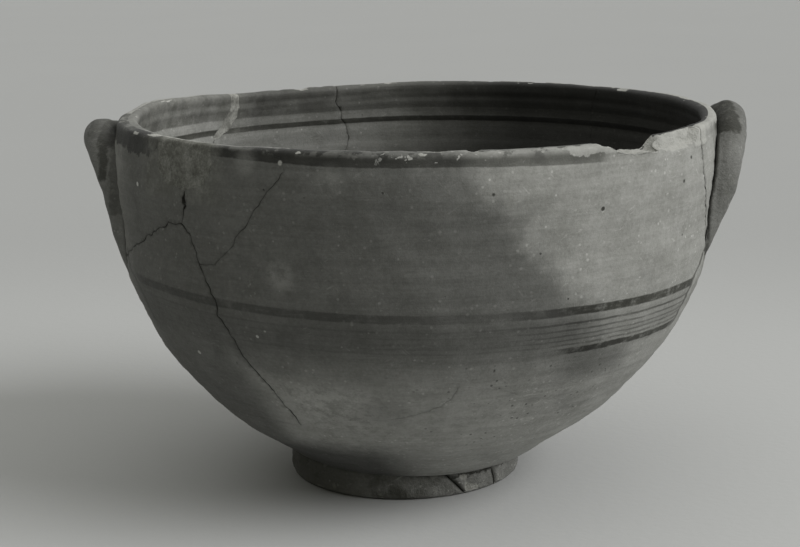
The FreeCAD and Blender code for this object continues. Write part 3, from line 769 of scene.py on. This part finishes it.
def lip_paint(g, w):
    """The outer lip band, lost where the lip is broken, ragged at the far left."""
    left = g.ease(w.az, -141, -146)
    edge = g.add(g.sub(115.8, g.mul(w.x, 0.024)), g.mul(left, -3.2))
    edge = g.sub(edge, g.ease(w.x, 16, -24))
    jag = g.add(g.mul(w.ragged, 0.55), g.mul(w.ragged, left, 4))
    lip = g.ease(g.sub(g.add(w.z, jag), edge), -0.2, 0.25)
    gone = g.mul(g.ease(w.az, -58, -55.5), g.ease(w.az, -12, -15), 0.85)
    rubbed_at = g.sub(0.5, g.mul(g.ease(w.az, -112, -103), 0.09))
    chipped = g.mul(g.ease(w.z, 117.4, 119), g.ease(g.sub(w.wear, rubbed_at), 0, 0.1), 0.9)
    crest_at = g.add(g.ease(w.az, -70, -59, 119.4, 116.9), g.mul(g.sub(w.wear, 0.5), 7))
    crest = g.ease(g.sub(g.add(w.z, w.ragged), crest_at), 0, 0.5)
    crest = g.mul(g.ease(w.az, -76, -68), crest)
    flaked = g.ease(g.noise(g.shift(w.p, 61, 2, 3), 2.6, 3, 0.6), 0.6, 0.64)
    flaked = g.mul(flaked, g.ease(w.z, 115.6, 117), g.band(w.az, -97, -77, 6))
    lip = g.mul(lip, g.sub(1, g.top(chipped, crest, flaked)), g.sub(1, gone))
    lip = g.mul(lip, g.ease(g.add(w.wear, g.mul(left, 0.06)), 0.66, 0.78, 1, 0.25))
    pale = g.mul(g.top(flaked, g.mul(crest, 0.35)), w.out, 0.6, g.ease(w.z, 113, 115))
    return g.mul(lip, g.ease(w.az, -112, -80, 0.95, 0.72)), pale


def inside_paint(g, w):
    """A band under the lip, a bare strip, a line, and a thin wash below."""
    ragged_z = g.add(w.z, g.mul(w.ragged, 0.3))
    rubbed = g.ease(g.noise(g.shift(w.p, 50, 1, 1), 6, 5, 0.7), 0.36, 0.6)
    rubbed = g.mul(g.band(w.az, 118, 178, 9), rubbed, 0.4)
    band = g.mul(g.ease(ragged_z, 110.1, 110.7), g.sub(1, rubbed),
                 g.ease(w.az, 128, 100, 0.75, 0.45))
    line = g.band(ragged_z, 104.8, 107, 0.3)
    paint = g.mul(g.top(band, line), g.ease(w.wear, 0.56, 0.74, 0.93, 0.5))
    return g.top(paint, g.ease(w.z, 104, 101, 0, 0.22))


def stains_and_painted_shade(g, w):
    """Stains, painted shade and painted light on the clay: painted shade over the left and front with the
    patchy edge of a firing cloud, painted shade inside at the right and low above the foot, painted light
    low on the outer wall, a mottled dark stain over the panel and a tan band.
    """
    # Painted shade over the left and front, the side away from the light, with the patchy edge of a firing
    # cloud.
    drift = g.mul(g.swing(g.shift(w.p, 5, 5, 90), 17, 5, 0.62), 26)
    limit = g.add(-73.5, g.mul(g.sub(100, w.z), 0.55), drift)
    reach = g.top(g.ease(w.z, 42, 66), g.mul(g.ease(w.az, -120, -132), 0.95))
    broad_patch = g.mul(g.ease(g.sub(w.az, limit), -7, 7, 1, 0), reach,
                  g.ease(g.add(w.az, g.mul(drift, 0.4)), -174, -150), 0.56)
    murk = g.noise(g.stretch(g.shift(w.p, 4, 4, 4), 0.12, 0.12, 1), 2.4, 5, 0.75)
    darkening = g.mul(g.band(w.level, 55.5, 73, 4), w.panel, g.ease(w.az, -50, -66, 0.08, 0.46),
                 g.ease(murk, 0.38, 0.6))
    # Painted shade low on the front and left, just above the foot.
    low_shade = g.mul(g.ease(g.add(w.z, g.mul(w.ragged, 2)), 31, 19),
                  g.ease(w.az, -82, -108), g.ease(w.az, -172, -140), 0.7)
    tan = g.mul(g.band(w.az, -62, -44, 4),
                g.band(g.add(w.level, g.mul(w.ragged, 1.5)), 49, 58.6, 3), 0.36)
    # Painted light: the outer wall is lighter towards the bottom, below a height of 42.
    outside = g.mul(g.ease(w.z, 42, 18, 1, 1.22), g.sub(1, tan),
                    g.sub(1, g.top(broad_patch, darkening, low_shade)))
    # Painted shade inside at the right, fading out towards the floor of the bowl.
    painted_inside_shade = g.top(g.mul(g.ease(w.az, 152, 128), 0.36), g.mul(g.ease(w.az, 122, 62), 0.83))
    painted_inside_shade = g.mul(painted_inside_shade, g.ease(w.az, -90, -30), g.ease(w.z, 22, 80, 0.12, 1))
    return g.add(g.mul(w.out, outside), g.mul(w.inn, g.sub(1, painted_inside_shade)))


def single_marks(g, w, color):
    """Rubbed blotches, then single pits and chips."""
    patchy = g.ease(g.add(w.wear, g.mul(w.fine, 0.2)), 0.3, 0.62)
    for at, radius, force in BLOTCHES:
        near = g.add(g.away(w.p, at), g.mul(g.sub(w.wear, 0.5), 9))
        rub = g.mul(g.ease(near, radius, radius * 0.35), patchy, force, w.out)
        color = g.mix(rub, color, CLAY_PALE)
    for at, radius, tint in MARKS:
        near = g.add(g.away(w.p, at), g.mul(w.fine, 0.35))
        spot = g.ease(near, radius + 0.15, radius - 0.15)
        color = g.mix(g.mul(spot, 0.9), color, tint)
    return color


def crust_and_pits(g, w, color):
    """An earthy crust low on the front, and small dark pits beside it."""
    thin = g.mul(g.band(w.az, -118, -66, 12), g.band(w.z, 24, 46, 7), 0.45)
    thick = g.mul(g.band(w.az, -119, -99, 5), g.band(w.z, 33, 49, 5))
    patchy = g.ease(g.noise(g.shift(w.p, 8, 90, 8), 3.5, 8, 0.8), 0.42, 0.56)
    color = g.mix(g.mul(g.top(thin, thick), patchy, w.out, 0.66), color, CHIP)
    patchy = g.ease(g.noise(g.shift(w.p, 5, 1, 81), 7, 3, 0.6), 0.43, 0.53)
    pits = g.ease(g.cells(g.shift(w.p, 12, 54, 3), 3.1), 0.17, 0.09)
    pits = g.mul(g.band(w.az, -90, -40, 12), g.band(w.z, 24, 60, 8), patchy, w.out, pits)
    return g.mix(g.mul(pits, 0.65), color, DIRT_AND_SHADE)


def outer_plaster(g, p):
    """Plaster on the outside, rubbed thin and toned to the clay."""
    broad_patch = g.noise(g.shift(p, 3, 3, 3), 5, 6, 0.75)
    color = g.mix(g.ease(broad_patch, 0.38, 0.66), (0.088, 0.088, 0.077), (0.172, 0.173, 0.158))
    return g.scale(color, g.ease(g.noise(p, 0.7, 2, 0.7), 0.2, 0.8, 0.82, 1.14))


def plaster_smears(g, w, color):
    """Plaster smeared past the edges of the fills."""
    lip = g.mul(g.band(g.add(w.az, g.mul(w.ragged, 2.2)), -147, -125.5, 2.2),
                g.ease(g.add(w.z, g.mul(w.ragged, 2.4)), 100.5, 105), w.out, 0.62)
    seam = g.mul(g.band(g.add(w.az, w.ragged), 132.6, 139.5, 1), g.ease(w.z, 101, 104),
                 w.inn, 0.35)
    patchy = g.noise(g.stretch(w.p, 1, 1, 0.35), 2.6, 4, 0.65)
    smear = g.mul(g.add(lip, seam), g.ease(patchy, 0.36, 0.56, 0.35, 1))
    return g.mix(smear, color, outer_plaster(g, w.p))


def bowl_material():
    g = Graph(bpy.data.materials.new("bowl_clay"))
    w = Wall(g)
    broken = g.attr("brk")
    color, height = clay_ground(g, w.p)
    lip, pale = lip_paint(g, w)
    paint = g.mix(w.inn, g.top(panel_paint(g, w), lip), inside_paint(g, w))
    paint = g.mul(paint, g.ease(broken, 0.3, 0.7, 1, 0))
    slip = g.mix(g.ease(w.wear, 0.35, 0.65), PAINT_AND_SHADE, THIN_PAINT_AND_SHADE)
    color = g.mix(paint, color, slip)
    # Stains, painted shade and painted light scale the colour.
    color = g.scale(color, stains_and_painted_shade(g, w))
    # Fresh breaks are paler and rough, joins hold dirt.
    edge_chip = g.mul(g.band(w.az, -31, -24, 1),
                      g.ease(g.add(w.z, w.ragged), 113.2, 114.2), w.out, 0.9)
    broken = g.top(broken, edge_chip)
    color = g.mix(pale, color, FLAKED)
    color = g.mix(g.mul(g.ease(broken, 0.3, 0.7), 0.8), color, BROKEN)
    color = single_marks(g, w, color)
    color = crust_and_pits(g, w, color)
    color = plaster_smears(g, w, color)
    color = g.mix(g.mul(g.attr("dirt_and_shade"), 0.93), color, DIRT_AND_SHADE)
    smudge = g.noise(g.shift(w.p, 2, 44, 9), 26, 4, 0.6)
    color = g.scale(color, g.ease(smudge, 0.52, 0.7, 1, 0.8))
    height = g.add(height, g.mul(paint, 0.25), g.mul(g.noise(w.p, 1.1, 3, 0.7), 1.6, broken))
    return g.finish(color, g.sub(0.78, g.mul(paint, 0.24)), height)


def plaster_material():
    g = Graph(bpy.data.materials.new("plaster"))
    p = g.coords()
    broad_patch = g.noise(p, 6, 4, 0.6)
    speck = g.noise(p, 0.7, 2, 0.7)
    inner = g.ease(g.attr("side"), 0.45, 0.55)
    rubbed = g.ease(g.noise(g.shift(p, 9, 1, 1), 4, 5, 0.7), 0.36, 0.62)
    inner_plaster = g.mix(rubbed, (0.13, 0.13, 0.118), (0.27, 0.27, 0.25))
    color = g.mix(inner, outer_plaster(g, p), inner_plaster)
    color = g.scale(color, g.ease(speck, 0.2, 0.8, 0.86, 1.1))
    color = g.mix(g.mul(g.attr("dirt_and_shade"), 0.8), color, DIRT_AND_SHADE)
    height = g.add(g.mul(speck, 0.5), g.mul(broad_patch, 0.6))
    return g.finish(color, 0.88, height)


def handle_material():
    g = Graph(bpy.data.materials.new("handle_clay"))
    p = g.coords()
    x, y, z = g.split(p)
    color, height = clay_ground(g, p, 0.92)
    # The handles are darker than the bowl; the left one is a little darker again, painted shade on the
    # side away from the light.
    color = g.scale(color, g.ease(x, -95, 95, 0.57, 0.62))
    # Painted shade: the handles darken towards their tops.
    color = g.scale(color, g.ease(z, 108, 120, 1, 0.8))
    wobble = g.mul(g.swing(g.shift(p, 4, 25, 3), 4.5, 5, 0.72), 4.5)
    near_x, near_z = g.add(x, wobble), g.add(z, wobble)
    # Dark slip on the handles, with painted shade in the left handle's slot and beside the wall.
    patches = [g.mul(g.band(near_x, x0, x1, 0.45), g.band(near_z, z0, z1, 0.45), force)
               for x0, x1, z0, z1, force in HANDLE_PATCHES]
    worn = g.ease(g.noise(g.shift(p, 4, 5, 83), 1.8, 4, 0.7), 0.55, 0.72, 1, 0.55)
    color = g.mix(g.mul(g.top(*patches), g.ease(y, 14, 6), worn), color, PAINT_AND_SHADE)
    # Painted shade where the rod comes close to the wall.
    color = g.mix(g.attr("dirt_and_shade"), color, DIRT_AND_SHADE)
    blot = g.ease(g.noise(g.shift(p, 8, 1, 60), 3.4, 4, 0.7), 0.55, 0.68)
    color = g.mix(g.mul(blot, 0.45), color, CLAY_DARK)
    height = g.add(height, g.mul(g.noise(p, 2.4, 4, 0.7), 1.2))
    return g.finish(color, 0.74, height, 0.0004)


def foot_material():
    g = Graph(bpy.data.materials.new("foot_clay"))
    p = g.coords()
    x, y, z = g.split(p)
    broken = g.attr("brk")
    color, height = clay_ground(g, p, 0.64)
    # Dark blotches, and painted shade over the left of the foot, away from the light.
    darkening = g.ease(g.noise(g.shift(p, 12, 5, 8), 9, 4, 0.6), 0.4, 0.66)
    darkening = g.top(darkening, g.ease(x, -8, -34, 0, 0.75))
    color = g.mix(g.mul(darkening, g.ease(x, -14, 24, 0.88, 0.26)), color, THIN_PAINT_AND_SHADE)
    color = g.mix(g.mul(g.ease(broken, 0.3, 0.7), 0.75), color, (0.31, 0.31, 0.285))
    # A dark ragged band of painted shade in a flaked groove under the bowl, and chips along the foot, at
    # the front right.
    az = g.azimuth(g.add(x, 4), y)
    jagged = g.mul(g.swing(g.shift(p, 14, 3, 2), 3, 5, 0.7), 6)
    groove_shade = g.mul(g.band(g.add(z, jagged), 6.2, 7.3, 0.35), g.band(az, -70, -24, 5))
    nick = g.ease(g.noise(g.shift(p, 6, 31, 9), 3.2, 4, 0.7), 0.6, 0.66)
    color = g.mix(g.mul(nick, g.band(az, -84, -20, 8), 0.5), color, (0.25, 0.25, 0.23))
    color = g.mix(g.mul(groove_shade, 0.8), color, DIRT_AND_SHADE)
    # Dark break edges, and painted shade in the crease under the bowl and in the hole.
    color = g.mix(g.mul(g.attr("dirt_and_shade"), 0.95), color, DIRT_AND_SHADE)
    height = g.add(height, g.mul(g.noise(p, 3, 5, 0.7), 2.2),
                   g.mul(g.noise(p, 1.2, 3, 0.7), 2, broken))
    return g.finish(color, 0.8, height, 0.0005)


MATERIALS = {"bowl_clay": bowl_material(), "plaster": plaster_material(),
             "handle_clay": handle_material(), "foot_clay": foot_material()}

sherd("front_sherd", chain("C", "A_low", "base_f1", "base_f2", "base_f3", "-D"))
sherd("rim_wedge_sherd", chain("-fill_r", "A_top_low", "A_mid", "-C"))
sherd("left_handle_sherd", chain("-seam_f", "G", "-B_far", "-B_near", "-A_top_low", "-fill_l"))
sherd("lower_left_sherd", chain("K", "base_l", "-A_low", "-A_mid", "B_near"), rim=False)
sherd("back_left_sherd", chain("F", "base_bl", "-K", "B_far", "-G", "-seam_b"))
sherd("back_sherd", chain("H", "base_b", "-F"))
sherd("right_handle_sherd", chain("D@", "base_r", "-H"))
sherd("base_sherd", chain("base_r", "base_b", "base_bl", "base_l", "base_f1", "base_f2", "base_f3"),
      rim=False, polar=True)
sherd("lip_fill", chain("fill_l", "fill_r"), "plaster")
sherd("seam_fill", chain("seam_b", "seam_f"), "plaster")


def tube_faces(rows, columns):
    """Faces of a tube of closed rings, with a cap at each end."""
    faces = []
    for i in range(rows - 1):
        here, ahead = i * columns, (i + 1) * columns
        for j in range(columns):
            k = (j + 1) % columns
            faces.append((here + j, here + k, ahead + k, ahead + j))
    last = (rows - 1) * columns
    return faces + [tuple(range(columns)), tuple(range(last, last + columns))]


# Handle rods: height, sideways place of the arm, outward shift of the rod's centre from the wall.

LEFT_ROD = [(70.12, 26.8, -7.4), (77.1, 26.5, -5.2), (84.5, 26, -3.12), (92, 25.5, -1.46),
            (99.6, 24.7, -0.7), (105.6, 21.8, 0.6), (110.5, 14.6, 2.6), (113.6, 0, 5.5)]
RIGHT_ROD = [(73, 26.8, -7.4), (79.6, 26.5, -4.67), (85.4, 26, -2.18), (91.1, 25.7, -0.1),
             (97.7, 25.5, 1.85), (104.4, 24.2, 2.9), (109.8, 19.8, 4.27), (113.9, 10.9, 5.35),
             (115.57, 0, 6.1)]
ROD_RADIUS = 5.05
ROD_RINGS = 190
TURNS = 56


def handle(name, side, table, seed):
    arm = []
    for z, y, shift in table:
        reach = float(wall_radius(z)) + shift
        arm.append((side * math.sqrt(reach * reach - y * y), y, z))
    arm = np.array(arm)
    near = arm[:-1] * (1, -1, 1)
    path = np.vstack([near, arm[::-1]])
    knots = np.hstack([[0], np.cumsum(np.linalg.norm(np.diff(path, axis=0), axis=1))])
    t = np.linspace(0, knots[-1], ROD_RINGS)
    line = np.stack([hermite(knots, path[:, k], t) for k in range(3)], axis=1)
    along = unit(np.gradient(line, axis=0))
    out = unit(line * (1, 1, 0))
    out = unit(out - along * np.sum(out * along, axis=1)[:, None])
    across = np.cross(along, out)
    ang = np.arange(TURNS) * 2 * np.pi / TURNS
    rough = Waves(seed, 26)
    lumps = Waves(seed + 1, 7)
    points = []
    root = np.minimum(t, t[-1] - t)
    for i in range(len(line)):
        flare = 1 + 0.22 * math.exp(-(root[i] / 9) ** 2)
        around = np.cos(ang)[:, None] * out[i] + np.sin(ang)[:, None] * across[i] * flare
        points.append(line[i] + ROD_RADIUS * around)
    points = np.vstack(points)
    centre = np.repeat(line, TURNS, axis=0)
    away = (points - centre) / 5.2
    points = points + away * (0.2 * rough(points) + 0.1 * lumps(points))[:, None]
    # The rod is pressed on to the wall: no point goes deeper than its surface.
    axis = AXIS_FOOT + AXIS_LEAN * points[:, 2]
    dx, dy = points[:, 0] - axis, points[:, 1]
    wall = wall_radius(points[:, 2]) - 0.45
    gap = np.hypot(dx, dy) - wall
    sideways = np.sign((points - centre)[:, 1])
    smear = np.clip(1 - np.abs(gap - 0.4) / 1.6, 0, 1) * 0.9 * (np.abs(away[:, 1]) > 0.3)
    dy = dy + sideways * smear
    reach = np.hypot(dx, dy)
    scale = np.maximum(reach, wall) / np.maximum(reach, 1e-6)
    points[:, 0] = axis + dx * scale
    points[:, 1] = dy * scale
    faces = tube_faces(len(line), TURNS)
    # Painted shade where the rod lies close to the wall.
    data = {"dirt_and_shade": np.clip(1 - (gap - 0.2) / 0.8, 0, 1) * 0.595}
    return make_piece(name, points, faces, data, "handle_clay", [name])


handle("left_handle", -1, LEFT_ROD, 31)
handle("right_handle", 1, RIGHT_ROD, 41)

# The foot ring's centre, and its two breaks: azimuth at the table and at the top.

FOOT_X = -4.45
BREAK_LEFT = (-59, -72)
BREAK_RIGHT = (-40, -42)
BREAK_HALF = 0.35
FOOT_ROUND = 1.6
FOOT_TOP = 11.5
FOOT_OUTER, FOOT_INNER = 37.8, 28.5


def foot_section():
    """The ring's closed section, from its outer edge at the table round to its inner one."""
    points = []
    for k in range(9):
        a = math.pi / 2 * k / 8
        points.append((FOOT_OUTER - FOOT_ROUND * (1 - math.sin(a)), FOOT_ROUND * (1 - math.cos(a))))
    for z in np.linspace(2.2, FOOT_TOP, 17):
        points.append((FOOT_OUTER + 0.35 * math.sin((z - FOOT_ROUND) * 0.45) - 0.05 * z, z))
    for r in np.linspace(36, 30, 6):
        points.append((r, FOOT_TOP))
    for z in np.linspace(11, 2, 14):
        points.append((FOOT_INNER, z))
    for k in range(7):
        a = math.pi / 2 * k / 6
        points.append((FOOT_INNER + FOOT_ROUND * (1 - math.cos(a)), FOOT_ROUND * (1 - math.sin(a))))
    for r in np.linspace(31, 35.4, 6):
        points.append((r, 0))
    return np.array(points)


def under_height(r):
    """Height of the bowl's underside."""
    return np.interp(r, SEC_R[SEC_Z <= 60], SEC_Z[SEC_Z <= 60])


def foot_piece(name, start, end, seed):
    """A piece of the foot ring between two breaks that slant from the table to its top."""
    sec = foot_section()
    columns = len(sec)
    slope = np.clip(sec[:, 1] / 9, 0, 1)
    az0 = start[0] + (start[1] - start[0]) * slope
    az1 = end[0] + (end[1] - end[0]) * slope
    rows = max(8, int(abs(az1[0] - az0[0]) / 0.9))
    wander = Waves(seed, 5)
    chip = Waves(5, 4.2)
    broad = Waves(6, 13)
    points, broken, dirt_and_shade = [], [], []
    for i in range(rows + 1):
        t = i / rows
        az = np.radians(az0 + (az1 - az0) * t)
        pad = np.stack([sec[:, 0] * np.cos(az), sec[:, 0] * np.sin(az), sec[:, 1]], axis=1)
        r, z = sec[:, 0].copy(), sec[:, 1].copy()
        deg = np.degrees(az)
        body = np.where((r > 33) & (z > 0.8), 1, 0)
        lump = 0.24 * broad(pad) + 0.14 * chip(pad)
        r = r + lump * body * 0.8
        # Flakes lost from the front, below the join with the bowl and beside the breaks.
        front = np.exp(-((deg + 66) / 13) ** 2)
        flake = np.clip(chip(pad * 0.9 + 20) + 0.9 * front - 0.75, 0, 1.2) * (0.25 + 0.75 * front)
        r = r - flake * 1.3 * body
        band = np.exp(-((z - 7.4) / 1.5) ** 2) * np.clip((deg + 62) / 8, 0, 1) * (deg < -8)
        cut = band * np.clip(0.6 + 0.9 * chip(pad * 1.2 + 7), 0, 1.6)
        r = r - cut * 1.2 * body
        hole = np.exp(-((deg + 66.5) / 2.6) ** 2 - ((z - 2.2) / 1.7) ** 2) * body
        r = r - 2.6 * hole
        near = np.minimum(t, 1 - t) * abs(az1[0] - az0[0]) * 0.66
        edge = np.exp(-(near / 0.55) ** 2) * body
        r = r - edge * 0.55
        a = az + 0.006 * wander(pad) * (0 < i < rows)
        x = FOOT_X + r * np.cos(a)
        y = r * np.sin(a)
        bowl = np.hypot(x + 1.3, y)
        z = np.minimum(z, under_height(bowl) + 0.35)
        points.append(np.stack([x, y, z], axis=1))
        broken.append(np.clip(flake * 1.6 + cut * 0.5, 0, 1) * body)
        # Painted shade in the crease under the bowl and in the small hole; the edges along the breaks are
        # dark.
        crease = np.exp(-((z - under_height(bowl)) / 0.6) ** 2) * body * 0.3
        dirt_and_shade.append(np.clip(np.maximum(np.maximum(edge * 0.9, hole), crease), 0, 1))
    points = np.vstack(points)
    faces = tube_faces(rows + 1, columns)
    data = {"brk": np.hstack(broken), "dirt_and_shade": np.hstack(dirt_and_shade)}
    return make_piece(name, points, faces, data, "foot_clay", [name])


def beside(edge, turn):
    return edge[0] + turn, edge[1] + turn


foot_piece("foot_ring", beside(BREAK_RIGHT, BREAK_HALF), beside(BREAK_LEFT, 360 - BREAK_HALF), 51)
foot_piece("foot_fragment", beside(BREAK_LEFT, BREAK_HALF), beside(BREAK_RIGHT, -BREAK_HALF), 52)

# Half the floor's width in metres, and its pale grey.

FLOOR_HALF = 60
FLOOR_DARK = (0.35, 0.354, 0.352)
FLOOR_PALE = (0.362, 0.366, 0.364)

# Lamps: name, strength, width in degrees, azimuth, height above the floor in degrees.

SUNS = [("key", 3.05, 40, -18, 32), ("overhead", 1.6, 120, 60, 80)]
SKY_TINT = (1, 1, 0.8, 1)
SKY_STRENGTH = 0.19
BACKDROP = (0.36, 0.365, 0.36, 1)

# Camera: focal length and frame width in pixels, sensor width, angles in radians, place in metres.

FOCAL = 1750
WIDE = 800
SENSOR = 36
PAN, TILT, ROLL = -0.00887, 0.21215, -0.01852
CAMERA_AT = (-0.00017, -0.56532, 0.18739)
NEAREST, FARTHEST = 0.01, 60


def add_floor():
    g = Graph(bpy.data.materials.new("floor"))
    p = g.coords()
    depth = g.split(p)[1]
    color = g.mix(g.noise(p, 220, 2), FLOOR_DARK, FLOOR_PALE)
    # Painted light: the floor is lighter in front and darker further back.
    color = g.scale(color, g.ease(depth, -80, 450, 1.1, 0.84))
    material = g.finish(color, 0.9, g.noise(p, 3, 3), 0.0001)
    mesh = bpy.data.meshes.new("floor")
    corners = [(x * FLOOR_HALF, y * FLOOR_HALF, 0) for x, y in ((-1, -1), (1, -1), (1, 1), (-1, 1))]
    mesh.from_pydata(corners, [], [(0, 1, 2, 3)])
    mesh.materials.append(material)
    obj = new_object("floor", mesh)


def add_sun(name, energy, wide, azimuth, height):
    sun = bpy.data.lights.new(name, "SUN")
    sun.energy = energy
    sun.angle = math.radians(wide)
    az, up = math.radians(azimuth), math.radians(height)
    way = Vector((math.cos(az) * math.cos(up), math.sin(az) * math.cos(up), math.sin(up)))
    new_object(name, sun).rotation_euler = way.to_track_quat("Z", "Y").to_euler()


def add_light():
    for lamp in SUNS:
        add_sun(*lamp)
    # Seen directly, the surroundings are as pale as the floor.
    world = bpy.data.worlds.new("studio")
    g = Graph(world)
    ray = g.node("LightPath", {}).outputs
    seen = g.top(ray["Is Camera Ray"], ray["Is Glossy Ray"], ray["Is Transmission Ray"])
    sky = g.node("Background", {"Color": SKY_TINT, "Strength": SKY_STRENGTH})
    pale = g.node("Background", {"Color": BACKDROP})
    both = g.node("MixShader", {0: seen, 1: sky.outputs[0], 2: pale.outputs[0]})
    g.node("OutputWorld", {"Surface": both.outputs[0]})
    bpy.context.scene.world = world


def add_camera():
    camera = bpy.data.cameras.new("camera")
    camera.sensor_fit = "HORIZONTAL"
    camera.sensor_width = SENSOR
    camera.lens = FOCAL / WIDE * SENSOR
    camera.clip_start = NEAREST
    camera.clip_end = FARTHEST
    ahead = Vector((math.sin(PAN) * math.cos(TILT), math.cos(PAN) * math.cos(TILT), -math.sin(TILT)))
    right = Vector((math.cos(PAN), -math.sin(PAN), 0))
    up = right.cross(ahead)
    rolled_right = right * math.cos(ROLL) + up * math.sin(ROLL)
    rolled_up = up * math.cos(ROLL) - right * math.sin(ROLL)
    turn = Matrix((rolled_right, rolled_up, -ahead)).transposed().to_4x4()
    obj = new_object("camera", camera)
    obj.matrix_world = Matrix.Translation(CAMERA_AT) @ turn
    bpy.context.scene.camera = obj


add_floor()
add_light()
add_camera()
bpy.context.scene.view_settings.view_transform = "Standard"
